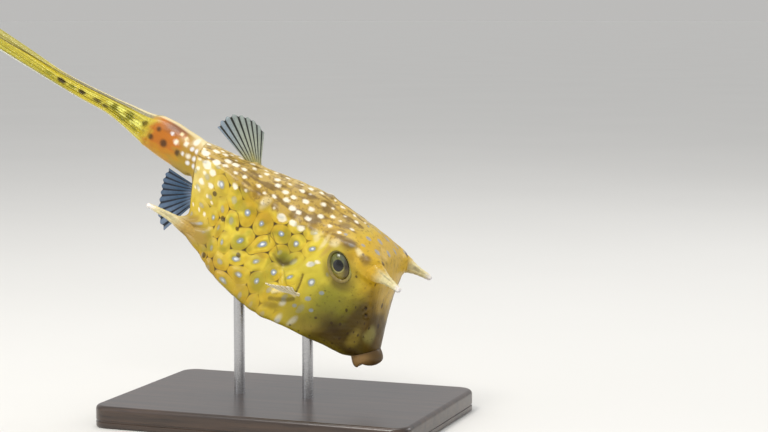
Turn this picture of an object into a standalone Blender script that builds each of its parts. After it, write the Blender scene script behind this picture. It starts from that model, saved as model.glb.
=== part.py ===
"""A longhorn cowfish as a life-size still model on a plain display stand.

The fish is described in its own frame, in millimetres: x runs forward from the base of the tail fin,
y to the left and z up, so its right side has negative y. Every piece of it hangs from one empty that
tips the fish nose down and holds it above the base. The origin is the middle of the base's underside.
"""

from math import cos, pi, radians, sin

import bmesh
import bpy
import numpy as np
from mathutils import Vector

MM = 0.001
GAP = 0.3
SEAT_GAP = 0.35
NOSE_DOWN = radians(36.0)
TAIL_BASE_AT = (-66.0, 0.0, 130.0)

# Stations of the bony carapace, from its hind rim to the snout. Each row holds the station's place
# along the body, then the mid-back (x, z), the upper ridge (x, y, z), the lower ridge (x, y, z), the
# mid-belly (x, z), and how round the section is, from 0 for the four-sided box to 1 for an ellipse.
CARAPACE = np.array([
    [26, 24.0, 12.2, 27.0, 8.6, 7.6, 44.0, 17.5, -18.2, 45.0, -19.6, 0.35],
    [34, 32.0, 14.2, 34.5, 11.4, 9.6, 48.0, 19.6, -20.4, 49.0, -22.4, 0.10],
    [42, 41.0, 16.6, 42.0, 13.2, 11.2, 53.0, 21.6, -22.2, 54.0, -24.8, 0.0],
    [56, 55.5, 20.8, 56.0, 14.6, 12.6, 62.0, 23.8, -25.0, 62.0, -27.8, 0.0],
    [72, 72.0, 26.0, 72.0, 15.2, 13.4, 75.0, 24.8, -27.4, 75.0, -30.4, 0.0],
    [86, 86.0, 29.6, 86.0, 15.4, 14.4, 88.0, 24.4, -27.9, 88.0, -31.0, 0.0],
    [96, 96.0, 30.4, 96.0, 16.2, 17.2, 96.0, 23.4, -27.3, 96.0, -30.4, 0.0],
    [106, 106.0, 30.6, 106.0, 18.0, 22.2, 104.0, 21.6, -26.0, 104.0, -29.2, 0.0],
    [118, 117.0, 29.4, 118.0, 19.4, 25.2, 113.0, 18.4, -24.6, 113.0, -27.8, 0.0],
    [127, 126.3, 26.2, 126.8, 18.8, 23.8, 119.5, 15.8, -23.8, 119.5, -26.8, 0.0],
    [134, 132.2, 19.6, 131.4, 16.4, 17.2, 124.5, 13.6, -23.0, 124.5, -25.8, 0.0],
    [143, 136.2, 9.0, 135.4, 13.0, 5.6, 129.5, 11.4, -22.5, 129.5, -25.2, 0.05],
    [153, 141.2, -1.6, 139.6, 10.0, -5.0, 133.5, 8.8, -22.2, 133.5, -24.5, 0.35],
    [162, 145.8, -12.0, 143.8, 6.2, -14.4, 138.9, 5.6, -20.4, 137.2, -22.5, 1.0],
])
RIM_AT = 26.0
SNOUT_AT = 162.0
FLANK_HOLLOW = 1.5

# Stations of the tail stem in the same columns. It widens into the hind rim of the carapace.
STEM = np.array([
    [0, 0.0, 8.9, 0.0, 4.2, 4.3, 0.0, 4.2, -4.3, 0.0, -8.6, 1.0],
    [8, 8.0, 10.7, 8.0, 4.6, 5.0, 8.0, 4.6, -4.2, 8.0, -8.3, 1.0],
    [15, 14.5, 11.3, 15.0, 5.4, 5.6, 15.5, 5.4, -3.8, 16.0, -7.5, 1.0],
    [20, 19.5, 11.8, 20.5, 6.4, 6.4, 23.0, 6.4, -3.8, 24.5, -6.8, 0.9],
])
STEM_FILLS = 0.96
# Rings between the stem and its wide front end: each ring's share of the way, and how far it is
# drawn in towards the mid-back, which hollows the underside.
STEM_FLARE = ((0.3, 0.2), (0.55, 0.28), (0.84, 0.14))

# Lines that run along the body, counted from the mid-back to the mid-belly of one side. Rows of
# plates lie three lines apart, and both ridges are rows of plates.
BACK_LINES, FLANK_LINES, BELLY_LINES = 9, 15, 9
LINES = 2 * (BACK_LINES + FLANK_LINES + BELLY_LINES)
ROW = 3
STEPS = 30
PLATE_START = RIM_AT
PLATE_STEP = (SNOUT_AT - RIM_AT) / STEPS
NECK_STEP = 16
PLATE_HEIGHT = 0.5
PLATE_CROWN = 0.4
PLATE_FLAT = 0.72
PLATES_FADE, PLATES_END = 22, 27

EYE_AT = (113.1, 12.7)
EYE_LONG, EYE_SHORT, EYE_TILT = 6.6, 4.7, radians(-35.0)
EYE_PROUD = 2.0
EYE_RIM = 0.9
EYE_SEAT_Y = 18.2

COLOURS = {
    "head": (0.45, 0.33, 0.04), "torso": (0.62, 0.40, 0.03), "tail_stem": (0.60, 0.22, 0.04),
    "caudal_fin": (0.55, 0.50, 0.05), "dorsal_fin": (0.45, 0.42, 0.22),
    "anal_fin": (0.25, 0.28, 0.30), "pectoral_fin": (0.60, 0.45, 0.22), "eye": (0.05, 0.06, 0.03),
    "horn": (0.72, 0.58, 0.28), "lip": (0.28, 0.16, 0.06), "stand": (0.03, 0.03, 0.032),
}


def smooth_curve(places, values, at):
    """Values between stations, by cubics that neither overshoot nor kink."""
    places, values = np.asarray(places, float), np.asarray(values, float)
    width = np.diff(places)
    slope = np.diff(values, axis=0) / width[:, None]
    lean = np.zeros_like(values)
    before, after = 2 * width[1:] + width[:-1], width[1:] + 2 * width[:-1]
    same = slope[:-1] * slope[1:] > 0
    safe = np.where(same, slope[:-1] * slope[1:], 1.0)
    total = before[:, None] * slope[1:] + after[:, None] * slope[:-1]
    total = np.where(same, total, 1.0)
    lean[1:-1] = np.where(same, (before + after)[:, None] * safe / total, 0.0)
    lean[0], lean[-1] = slope[0], slope[-1]
    k = np.clip(np.searchsorted(places, at, side="right") - 1, 0, len(places) - 2)
    t = ((at - places[k]) / width[k])[..., None]
    w = width[k][..., None]
    left = (1 + 2 * t) * (1 - t) ** 2 * values[k] + t * (1 - t) ** 2 * w * lean[k]
    right = t * t * (3 - 2 * t) * values[k + 1] + t * t * (t - 1) * w * lean[k + 1]
    return left + right


def surface(along, line, table=CARAPACE):
    """Points of the body at a place along it and on a line round it, line 0 on the mid-back."""
    along, line = np.broadcast_arrays(np.asarray(along, float), np.asarray(line, float))
    row = smooth_curve(table[:, 0], table[:, 1:], along)
    zero = np.zeros_like(along)
    top = np.stack([row[..., 0], zero, row[..., 1]], -1)
    upper, lower = row[..., 2:5], row[..., 5:8]
    bottom = np.stack([row[..., 8], zero, row[..., 9]], -1)
    roundness = row[..., 10:11]
    line = np.mod(line, LINES)
    right = line <= LINES / 2
    count = np.where(right, line, LINES - line)[..., None]
    on_back = np.clip(count / BACK_LINES, 0, 1)
    on_flank = np.clip((count - BACK_LINES) / FLANK_LINES, 0, 1)
    on_belly = np.clip((count - BACK_LINES - FLANK_LINES) / BELLY_LINES, 0, 1)
    level = np.array([1.0, 1.0, 0.0])
    back = top + (upper - top) * (level * on_back + (1 - level) * on_back ** 1.8)
    side = lower - upper
    inward = np.stack([zero, side[..., 2], -side[..., 1]], -1)
    inward = inward / (np.linalg.norm(inward, axis=-1, keepdims=True) + 1e-9)
    flank = upper + side * on_flank + inward * np.sin(pi * on_flank) * FLANK_HOLLOW * (1 - roundness)
    belly = bottom + (lower - bottom) * (level * (1 - on_belly) + (1 - level) * (1 - on_belly) ** 2)
    box = np.where(count <= BACK_LINES, back, np.where(count <= BACK_LINES + FLANK_LINES, flank, belly))
    turn = 2 * pi * count / LINES
    half_width = 1.1 * np.maximum(upper[..., 1:2], lower[..., 1:2])
    oval = (top + bottom) / 2 + (top - bottom) / 2 * np.cos(turn)
    oval = oval + half_width * np.sin(turn) * np.array([0.0, 1.0, 0.0])
    points = box * (1 - roundness) + oval * roundness
    return points * np.where(right, -1.0, 1.0)[..., None] ** np.array([0, 1, 0])


def outward(along, line, table=CARAPACE):
    """Unit vectors square to the body's surface and pointing out of it."""
    step, turn = 0.5, 0.25
    first, last = table[0, 0], table[-1, 0]
    ahead = surface(np.minimum(along + step, last), line, table)
    behind = surface(np.maximum(along - step, first), line, table)
    round_it = surface(along, np.asarray(line) + turn, table) - surface(along, np.asarray(line) - turn, table)
    normal = np.cross(ahead - behind, round_it)
    return normal / (np.linalg.norm(normal, axis=-1, keepdims=True) + 1e-12)


def material(name, kind):
    made = bpy.data.materials.new(name)
    made.use_nodes = True
    shader = made.node_tree.nodes["Principled BSDF"]
    shader.inputs["Base Color"].default_value = (*COLOURS[kind], 1.0)
    shader.inputs["Roughness"].default_value = 0.25 if kind in ("eye", "stand") else 0.45
    shader.inputs["Metallic"].default_value = 0.0
    return made


def add_object(name, points, faces, parent=None, kind=None):
    """A mesh object from points in millimetres and faces that face outwards."""
    mesh = bpy.data.meshes.new(name)
    mesh.from_pydata((np.asarray(points) * MM).tolist(), [], [list(map(int, f)) for f in faces])
    made = bpy.data.objects.new(name, mesh)
    bpy.context.scene.collection.objects.link(made)
    made.parent = parent
    if kind:
        mesh.materials.append(material(name, kind))
        mesh.shade_smooth()
        mesh.set_sharp_from_angle(angle=radians(35.0))
    return made


def face_out(obj):
    """Turns a closed mesh the right way round."""
    body = bmesh.new()
    body.from_mesh(obj.data)
    bmesh.ops.recalc_face_normals(body, faces=body.faces)
    if body.calc_volume(signed=True) < 0:
        bmesh.ops.reverse_faces(body, faces=body.faces)
    body.to_mesh(obj.data)
    body.free()
    return obj


def keep_largest(obj):
    """Keeps the largest closed surface of a mesh, and drops scraps and sealed hollows."""
    body = bmesh.new()
    body.from_mesh(obj.data)
    left, shells = set(body.faces), []
    while left:
        shell, edge = set(), {left.pop()}
        while edge:
            face = edge.pop()
            shell.add(face)
            near = {other for e in face.edges for other in e.link_faces}
            edge |= near & left
            left -= near
        shells.append(shell)
    shells.sort(key=len)
    scraps = [face for shell in shells[:-1] for face in shell]
    if scraps:
        bmesh.ops.delete(body, geom=scraps, context="FACES")
    body.to_mesh(obj.data)
    body.free()


def combine(obj, tools, operation):
    """Joins tools to the object or cuts them from it, in one Boolean, and removes the tools."""
    group = bpy.data.collections.new("tools")
    bpy.context.scene.collection.children.link(group)
    for tool in tools:
        tool.hide_render = True
        tool.display_type = "WIRE"
        bpy.context.scene.collection.objects.unlink(tool)
        group.objects.link(tool)
    change = obj.modifiers.new(operation.lower(), "BOOLEAN")
    change.operation = operation
    change.operand_type = "COLLECTION"
    change.collection = group
    bpy.context.view_layer.update()
    seen = obj.evaluated_get(bpy.context.evaluated_depsgraph_get())
    changed = bpy.data.meshes.new_from_object(seen)
    obj.modifiers.clear()
    obj.data = changed
    for tool in tools:
        bpy.data.objects.remove(tool)
    bpy.data.collections.remove(group)
    keep_largest(obj)
    obj.data.shade_smooth()
    obj.data.set_sharp_from_angle(angle=radians(35.0))


def frame_along(path):
    """Two unit vectors square to a path at each of its points: one level, one upright."""
    ahead = np.gradient(path, axis=0)
    ahead /= np.linalg.norm(ahead, axis=1, keepdims=True)
    side = np.cross(np.array([0.0, 0.0, 1.0]), ahead)
    side /= np.linalg.norm(side, axis=1, keepdims=True)
    return side, np.cross(ahead, side)


def tube(name, path, half_widths, half_heights, sides, parent=None, kind=None):
    """A closed body of oval rings carried along a path, with a flat end at each end."""
    path = np.asarray(path, float)
    side, up = frame_along(path)
    turn = np.linspace(0, 2 * pi, sides, endpoint=False)
    across = np.asarray(half_widths)[:, None, None] * np.cos(turn)[None, :, None] * side[:, None]
    upright = np.asarray(half_heights)[:, None, None] * np.sin(turn)[None, :, None] * up[:, None]
    rings = path[:, None] + across + upright
    return closed_rings(name, rings, parent, kind)


def closed_rings(name, rings, parent=None, kind=None):
    """A closed body from rings of points, each end closed by a fan to its middle."""
    count, sides = rings.shape[:2]
    points = np.concatenate([rings.reshape(-1, 3), [rings[0].mean(0), rings[-1].mean(0)]])
    faces = []
    for i in range(count - 1):
        for j in range(sides):
            a, b = i * sides + j, i * sides + (j + 1) % sides
            faces += [(a, b, b + sides), (a, b + sides, a + sides)]
    start, end = count * sides, count * sides + 1
    last = (count - 1) * sides
    for j in range(sides):
        faces.append((start, (j + 1) % sides, j))
        faces.append((end, last + j, last + (j + 1) % sides))
    return face_out(add_object(name, points, faces, parent, kind))


def vane(name, middle, normal, half, parent=None, kind=None):
    """A thin closed body: a grid of points thickened to both sides, split alike on both faces."""
    rows, columns = middle.shape[:2]
    offset = normal * half[..., None]
    points = np.concatenate([(middle + offset).reshape(-1, 3), (middle - offset).reshape(-1, 3)])
    under = rows * columns
    index = np.arange(under).reshape(rows, columns)
    faces = []
    for i in range(rows - 1):
        for j in range(columns - 1):
            a, b, c, d = index[i, j], index[i, j + 1], index[i + 1, j + 1], index[i + 1, j]
            faces += [(a, b, c), (a, c, d), (under + c, under + b, under + a)]
            faces.append((under + d, under + c, under + a))
    rim = [*index[0, :-1], *index[:-1, -1], *index[-1, :0:-1], *index[:0:-1, 0]]
    for a, b in zip(rim, rim[1:] + rim[:1]):
        faces += [(b, a, under + a), (b, under + a, under + b)]
    return face_out(add_object(name, points, faces, parent, kind))


def plated_shell(name, first, last, parent, kind):
    """A stretch of the carapace between two steps, with its six-sided plates raised.

    A plate's centre lies on every third line, at every second step, and its six corners one step
    and one line, or two lines, away. A plate on a ridge has a seventh and an eighth corner where the
    ridge leaves it. Each corner lies in the groove, and the plate's flat rises from it. A plate
    that the end of the stretch passes through keeps the half that lies inside.
    """
    ridges = {0, BACK_LINES, BACK_LINES + FLANK_LINES, LINES // 2}
    ridges |= {LINES - line for line in ridges if line}
    spots, faces = {}, []

    def spot(key, step, line, height):
        spots.setdefault(key, (PLATE_START + PLATE_STEP * step, line, height))
        return key

    for line in range(0, LINES, ROW):
        for step in range(first, last + 1):
            if (step - line) % 2:
                continue
            height = PLATE_HEIGHT * np.interp(step, (0, 1, PLATES_FADE, PLATES_END), (0.6, 1, 1, 0))
            corners = [(0, 2), (1, 1), (1, 0), (1, -1), (0, -2), (-1, -1), (-1, 0), (-1, 1)]
            corners = [c for c in corners if c[1] or line in ridges]
            centre = spot(("centre", step, line), step, line, height * (1 + PLATE_CROWN))
            for p, q in zip(corners, corners[1:] + corners[:1]):
                if not all(first <= step + c[0] <= last for c in (p, q)):
                    continue
                outer, inner = [], []
                for i, j in (p, q):
                    outer.append(spot((step + i, (line + j) % LINES), step + i, line + j, 0.0))
                    if height:
                        key = ("flat", step, line, i, j)
                        inner.append(spot(key, step + PLATE_FLAT * i, line + PLATE_FLAT * j, height))
                if height:
                    faces.append((centre, inner[0], inner[1]))
                    faces += [(inner[0], outer[0], outer[1]), (inner[0], outer[1], inner[1])]
                else:
                    faces.append((centre, outer[0], outer[1]))
    index = {key: i for i, key in enumerate(spots)}
    place = np.array(list(spots.values()), float)
    points = surface(place[:, 0], place[:, 1]) + outward(place[:, 0], place[:, 1]) * place[:, 2:]
    ahead = np.where(place[:, 0] == PLATE_START + PLATE_STEP * NECK_STEP, 1.0, 0.0)
    points[:, 0] += ahead * (GAP / 2 if first == NECK_STEP else -GAP / 2)
    faces = [tuple(index[key] for key in face) for face in faces]
    return close_ends(name, points, faces, parent, kind)


def close_ends(name, points, faces, parent, kind):
    """Closes each open ring of a tube by a fan to its middle."""
    follow = {}
    for a, b, c in faces:
        for p, q in ((a, b), (b, c), (c, a)):
            if follow.get(q) and p in follow[q]:
                follow[q].discard(p)
            else:
                follow.setdefault(p, set()).add(q)
    follow = {p: next(iter(ends)) for p, ends in follow.items() if ends}
    while follow:
        start, point = follow.popitem()
        ring = [start]
        while point != start:
            ring.append(point)
            point = follow.pop(point)
        points = np.concatenate([points, [points[ring].mean(0)]])
        faces = faces + [(len(points) - 1, q, p) for p, q in zip(ring, ring[1:] + ring[:1])]
    return face_out(add_object(name, points, faces, parent, kind))


def horn_path(side, root, tip, rise, count):
    """Points of a horn from root to tip, bowed a little, with y turned to its side."""
    t = np.linspace(0, 1, count)[:, None]
    root, tip = np.array(root), np.array(tip)
    path = root + (tip - root) * t + np.array([0, 0, rise]) * np.sin(pi * t)
    return path * np.array([1, side, 1])


def horn_piece(name, side, horn, start, end, sides, parent, kind=None):
    """The stretch of a horn between two shares of its length."""
    t = np.linspace(start, end, 6)
    every = np.linspace(0, 1, 101)
    path = horn_path(side, horn["root"], horn["tip"], horn["rise"], len(every))
    path = np.stack([np.interp(t, every, path[:, k]) for k in range(3)], 1)
    width, height = smooth_curve(horn["shares"], np.stack([horn["wide"], horn["tall"]], 1), t).T
    return tube(name, path, width, height, sides, parent, kind)


FRONT_HORN = {
    "root": (121.5, 15.8, 20.0), "tip": (142.4, 21.2, 22.4), "rise": 0.2, "cut": 0.5,
    "shares": (0.0, 0.2, 0.4, 0.5, 0.62, 0.8, 0.95, 1.0),
    "wide": (3.2, 3.4, 3.2, 2.8, 2.3, 1.75, 1.35, 0.9),
    "tall": (4.2, 4.8, 4.3, 3.4, 2.6, 1.9, 1.4, 0.9),
}
REAR_HORN = {
    "root": (54.0, 19.4, -18.6), "tip": (22.5, 18.2, -23.2), "rise": 1.0, "cut": 0.44,
    "shares": (0.0, 0.15, 0.32, 0.44, 0.64, 0.9, 1.0),
    "wide": (2.6, 3.8, 3.8, 2.7, 1.75, 1.25, 0.8),
    "tall": (2.8, 4.4, 4.4, 2.8, 1.75, 1.25, 0.8),
}


def fan(fin, grow=0.0):
    """Middle points, normals and half thicknesses of a fin whose rays spread from one point.

    Rays leave the apex at evenly spaced angles. Between two rays the margin dips and the
    membrane thins. grow thickens the whole fin.
    """
    between = 2
    columns = (fin["rays"] - 1) * between + 1
    across = np.linspace(0, 1, columns)[:, None]
    out = np.linspace(0, 1, fin["rows"])[None, :]
    at_ray = 0.5 + 0.5 * np.cos(2 * pi * across * (fin["rays"] - 1))
    angle = radians(1.0) * (fin["angles"][0] + (fin["angles"][1] - fin["angles"][0]) * across)
    lengths = np.array(fin["margin"])[:, None]
    margin = smooth_curve(np.linspace(0, 1, len(lengths)), lengths, across[:, 0])
    dip = 1 - fin["dip"] * (1 - at_ray)
    root = fin["root"] - grow
    radius = root + (margin * dip - root) * out
    e1, e2 = np.array(fin["e1"], float), np.array(fin["e2"], float)
    e1 /= np.linalg.norm(e1)
    e2 = e2 - e1 * (e2 @ e1)
    e2 /= np.linalg.norm(e2)
    normal = np.cross(e1, e2)
    direction = np.cos(angle)[..., None] * e1 + np.sin(angle)[..., None] * e2
    middle_angle = radians(sum(fin["angles"]) / 2)
    sideways = -sin(middle_angle) * e1 + cos(middle_angle) * e2
    widen = (across * 2 - 1) * (fin["stalk"] * (1 - np.clip(out / 0.4, 0, 1)) ** 2 + grow)
    share = np.clip((radius - fin["root"]) / (margin - fin["root"]), 0, 1)
    middle = np.array(fin["apex"], float) + radius[..., None] * direction
    middle = middle + widen[..., None] * sideways
    bow = fin["curl"] * share ** 2 + fin["wave"] * share * np.sin(3 * pi * across)
    middle = middle + bow[..., None] * normal
    thin, thick = fin["membrane"], fin["ray"]
    fade = 1 - 0.35 * share
    half = 0.5 * (thin + (thick - thin) * at_ray * fade)
    half = half + 0.5 * (fin["flesh"] - half * 2) * np.clip(1 - share / 0.25, 0, 1) ** 2
    half = half * np.minimum(1, 0.72 + 0.28 * np.minimum(across, 1 - across) * (fin["rays"] - 1))
    return middle, np.broadcast_to(normal, middle.shape), half + grow


DORSAL = {
    "apex": (53.9, 0.0, 15.0), "e1": (1, 0, 0), "e2": (0, 0, 1), "angles": (117.0, 168.0),
    "margin": (20.8, 24.6, 27.4, 29.6, 31.2, 31.0, 30.0), "rays": 9, "rows": 7, "root": 2.0, "stalk": 1.3,
    "dip": 0.03, "curl": 1.0, "wave": 0.5, "membrane": 0.5, "ray": 1.0, "flesh": 2.6,
}
ANAL = {
    "apex": (37.5, 0.0, -7.0), "e1": (1, 0, 0), "e2": (0, 0, 1), "angles": (187.0, 255.0),
    "margin": (22.6, 23.6, 25.0, 27.4, 29.4), "rays": 10, "rows": 7, "root": 2.4, "stalk": 1.0,
    "dip": 0.03, "curl": -1.0, "wave": 0.5, "membrane": 0.5, "ray": 1.0, "flesh": 2.6,
}
PECTORAL = {
    "apex": (105.2, -15.8, -10.2), "e1": (-0.86, 0.0, -0.51), "e2": (0.214, -0.934, 0.285),
    "angles": (44.0, 98.0), "margin": (17.0, 20.0, 21.0, 20.0, 17.0), "rays": 10, "rows": 7, "root": 1.6,
    "stalk": 1.2, "dip": 0.03, "curl": 3.4, "wave": 0.0, "membrane": 0.5, "ray": 1.0, "flesh": 2.8,
}


SOCKET_SIDES, SOCKET_SQUARENESS = 12, 0.6


def fin_socket(fin, reach, parent):
    """A tapered cutter that clears a fin's root by the gap, out to a radius from its apex."""
    middle, normal, half = fan({**fin, "rows": 25}, GAP)
    keep = np.linalg.norm(middle - np.array(fin["apex"]), axis=-1).mean(0) < reach
    keep[1:-1:2] = False
    edge_a, edge_b = middle[0, keep], middle[-1, keep]
    path = (edge_a + edge_b) / 2
    wide = np.linalg.norm(edge_a - edge_b, axis=1) / 2 + GAP
    sway = np.abs(((middle[:, keep] - path) * normal[0, 0]).sum(-1)).max(0)
    thick = half.max(0)[keep] * 1.15 + sway
    turn = np.linspace(0, 2 * pi, SOCKET_SIDES, endpoint=False)
    across = (edge_a - edge_b) / np.linalg.norm(edge_a - edge_b, axis=1, keepdims=True)
    flat, tall = (np.sign(f(turn)) * np.abs(f(turn)) ** SOCKET_SQUARENESS for f in (np.cos, np.sin))
    rings = path[:, None] + (wide[:, None] * flat)[..., None] * across[:, None]
    rings = rings + (thick[:, None] * tall)[..., None] * normal[0, keep][:, None]
    return closed_rings("socket", rings, parent)


def mirrored(fin):
    """The same fin on the other side of the body."""
    turned = dict(fin)
    for key in ("apex", "e1", "e2"):
        turned[key] = tuple(np.array(fin[key]) * np.array([1, -1, 1]))
    turned["curl"] = -fin["curl"]
    return turned


# Stations of the folded tail fin: x, then the middle's z, the depth and the width.
TAIL = np.array([
    [-99.0, -14.9, 9.8, 1.1], [-89.0, -13.5, 9.2, 1.3], [-73.0, -11.6, 8.4, 1.6],
    [-55.0, -9.5, 7.4, 1.9], [-40.0, -6.9, 8.0, 2.4], [-26.0, -3.9, 8.8, 3.6],
    [-15.5, -2.3, 11.4, 5.6], [-6.0, -1.2, 14.6, 8.0], [0.0, 0.15, 17.5, 9.2],
])
TAIL_RAYS = 10
TAIL_TOOTH = 2.4
THINNEST_HALF = 0.25


def caudal_fin(parent):
    """The tail fin, folded to a long brush: rays as ridges, from a fleshy base to a frayed end."""
    between, rows = 2, 17
    length = -TAIL[0, 0]
    x = -GAP - (length - GAP) * np.linspace(0, 1, rows) ** 1.1
    z, deep, wide = smooth_curve(TAIL[:, 0], TAIL[:, 1:], x).T
    across = np.linspace(0, 1, (TAIL_RAYS - 1) * between + 1)[:, None]
    at_ray = 0.5 + 0.5 * np.cos(2 * pi * across * (TAIL_RAYS - 1))
    down = (x / -length)[None, :]
    bulge = np.sqrt(np.clip(1 - (2 * across - 1) ** 2, 0.02, 1))
    half = wide / 2 * bulge ** (1.0 - 0.45 * down) * (1 - 0.3 * (1 - at_ray) * np.clip(down * 5, 0, 1))
    tooth = (1 - at_ray) * TAIL_TOOTH * np.clip((down - 0.9) / 0.1, 0, 1)
    middle = np.stack([
        x[None, :] + tooth + np.zeros_like(across), np.zeros_like(half),
        z[None, :] + (across - 0.5) * deep[None, :],
    ], -1)
    normal = np.broadcast_to(np.array([0.0, 1.0, 0.0]), middle.shape)
    return vane("caudal_fin", middle, normal, np.maximum(half, THINNEST_HALF), parent, "caudal_fin")


def tail_stem(parent):
    """The tail stem, with a front end that fills the hind rim of the carapace."""
    lines = np.arange(0, LINES, 2)
    rings = [surface(at, lines, STEM) for at in (0.0, 3.0, 6.5, 10.0, 13.5, 17.0, 20.0)]
    rim = surface(RIM_AT, lines)
    centre = rim.mean(0)
    back = np.array([rim[0, 2] - rim[:, 2].min(), 0.0, rim[:, 0].max() - rim[0, 0]])
    back = -np.abs(back) / np.linalg.norm(back)
    end = centre + (rim - centre) * STEM_FILLS + back * SEAT_GAP
    flare = []
    for share, inward in STEM_FLARE:
        ring = rings[-1] + (end - rings[-1]) * share
        flare.append(ring + (ring[0] - ring) * inward)
    return closed_rings("tail_stem", np.array([*rings, *flare, end]), parent, "tail_stem")


def oval_ball(name, centre, tilt, radii, sides, parent, kind=None):
    """A ball stretched to three radii: along its tilt in the x-z plane, along y, and square to both."""
    polar = np.linspace(0, pi, sides // 2 + 1)[1:-1]
    turn = np.linspace(0, 2 * pi, sides, endpoint=False)
    long_way = np.array([cos(tilt), 0, sin(tilt)])
    short_way = np.array([-sin(tilt), 0, cos(tilt)])
    rings = (
        np.array(centre)
        + radii[0] * np.sin(polar)[:, None, None] * np.cos(turn)[None, :, None] * long_way
        + radii[2] * np.sin(polar)[:, None, None] * np.sin(turn)[None, :, None] * short_way
        + radii[1] * np.cos(polar)[:, None, None] * np.array([0, 1.0, 0])
    )
    return closed_rings(name, rings, parent, kind)


def eye_rim(side, parent):
    """The raised ring of skin round an eye, an oval ring sunk half way into the head."""
    turn = np.linspace(0, 2 * pi, 28, endpoint=False)
    tube_turn = np.linspace(0, 2 * pi, 8, endpoint=False)
    long_way = np.array([cos(EYE_TILT), 0, sin(EYE_TILT)])
    short_way = np.array([-sin(EYE_TILT), 0, cos(EYE_TILT)])
    along = np.cos(turn)[:, None] * long_way * (EYE_LONG + EYE_RIM * 0.6)
    along = along + np.sin(turn)[:, None] * short_way * (EYE_SHORT + EYE_RIM * 0.6)
    away = along / np.linalg.norm(along, axis=1, keepdims=True)
    centre = np.array([EYE_AT[0], side * EYE_SEAT_Y, EYE_AT[1]])
    ring = centre + along[:, None] + EYE_RIM * (
        np.cos(tube_turn)[None, :, None] * away[:, None]
        + np.sin(tube_turn)[None, :, None] * np.array([0, 1.0, 0])
    )
    count, sides = ring.shape[:2]
    faces = []
    for i in range(count):
        for j in range(sides):
            a, b = i * sides + j, i * sides + (j + 1) % sides
            c, d = (i + 1) % count * sides + (j + 1) % sides, (i + 1) % count * sides + j
            faces += [(a, b, c), (a, c, d)]
    return face_out(add_object("rim", ring.reshape(-1, 3), faces, parent))


def eyeball(name, side, grow, parent, kind=None):
    centre = (EYE_AT[0], side * (EYE_SEAT_Y - 1.0), EYE_AT[1])
    depth = EYE_PROUD + 1.0 + grow
    return oval_ball(name, centre, EYE_TILT, (EYE_LONG + grow, depth, EYE_SHORT + grow), 20, parent, kind)


GILL_SLIT = ((101.6, 19.2, -2.2), (104.9, 20.3, -8.6))
GILL_RADIUS = 1.0
NOSTRILS = ((132.6, 3.4), (134.2, 0.6))
NOSTRIL_RADIUS = 0.55


def slot(start, end, radius, parent):
    """A rod-shaped cutter between two points."""
    path = np.linspace(start, end, 3)
    return tube("slot", path, [radius] * 3, [radius] * 3, 10, parent)


# The mouth's slit lies below the middle of the snout's end, and each lip stands out from that end.
MOUTH_AT, MOUTH_OPEN, MOUTH_HALF_WIDTH = -2.2, 0.2, 6.4
UPPER_LIP_DEEP, LOWER_LIP_DEEP = 6.6, 5.8
LIP_SQUARENESS = 0.8


def lip(name, parent, upper):
    """One lip: a bulge whose sections across the mouth are half ovals on the end of the snout."""
    top, bottom = CARAPACE[-1, 1:3], CARAPACE[-1, 9:11]
    centre = np.array([(top[0] + bottom[0]) / 2, 0.0, (top[1] + bottom[1]) / 2])
    up = np.array([top[0] - bottom[0], 0.0, top[1] - bottom[1]])
    tall = np.linalg.norm(up) / 2
    up /= np.linalg.norm(up)
    out = np.cross(up, np.array([0, 1.0, 0]))
    out *= np.sign(out[0])
    deep = UPPER_LIP_DEEP if upper else LOWER_LIP_DEEP
    count = 15
    y = MOUTH_HALF_WIDTH * np.sin(np.linspace(-0.46 * pi, 0.46 * pi, count))
    reach = tall * np.sqrt(1 - (y / (MOUTH_HALF_WIDTH * 1.04)) ** 2)
    inner = np.full(count, MOUTH_AT + (MOUTH_OPEN if upper else -MOUTH_OPEN))
    outer = reach * 0.96 if upper else -reach * 0.96
    middle, half = (inner + outer) / 2, np.abs(outer - inner) / 2
    turn = np.linspace(0, pi, 9)
    rise = deep * (1 - (y / (MOUTH_HALF_WIDTH * 1.1)) ** 2) ** 0.5
    across = np.sign(np.cos(turn)) * np.abs(np.cos(turn)) ** LIP_SQUARENESS
    forward = np.abs(np.sin(turn)) ** LIP_SQUARENESS
    t = middle[:, None] + half[:, None] * across * (1 if upper else -1)
    n = SEAT_GAP + rise[:, None] * forward
    rings = centre + t[..., None] * up + n[..., None] * out
    rings = rings + y[:, None, None] * np.array([0, 1.0, 0])
    return closed_rings(name, rings, parent, "lip")


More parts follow.
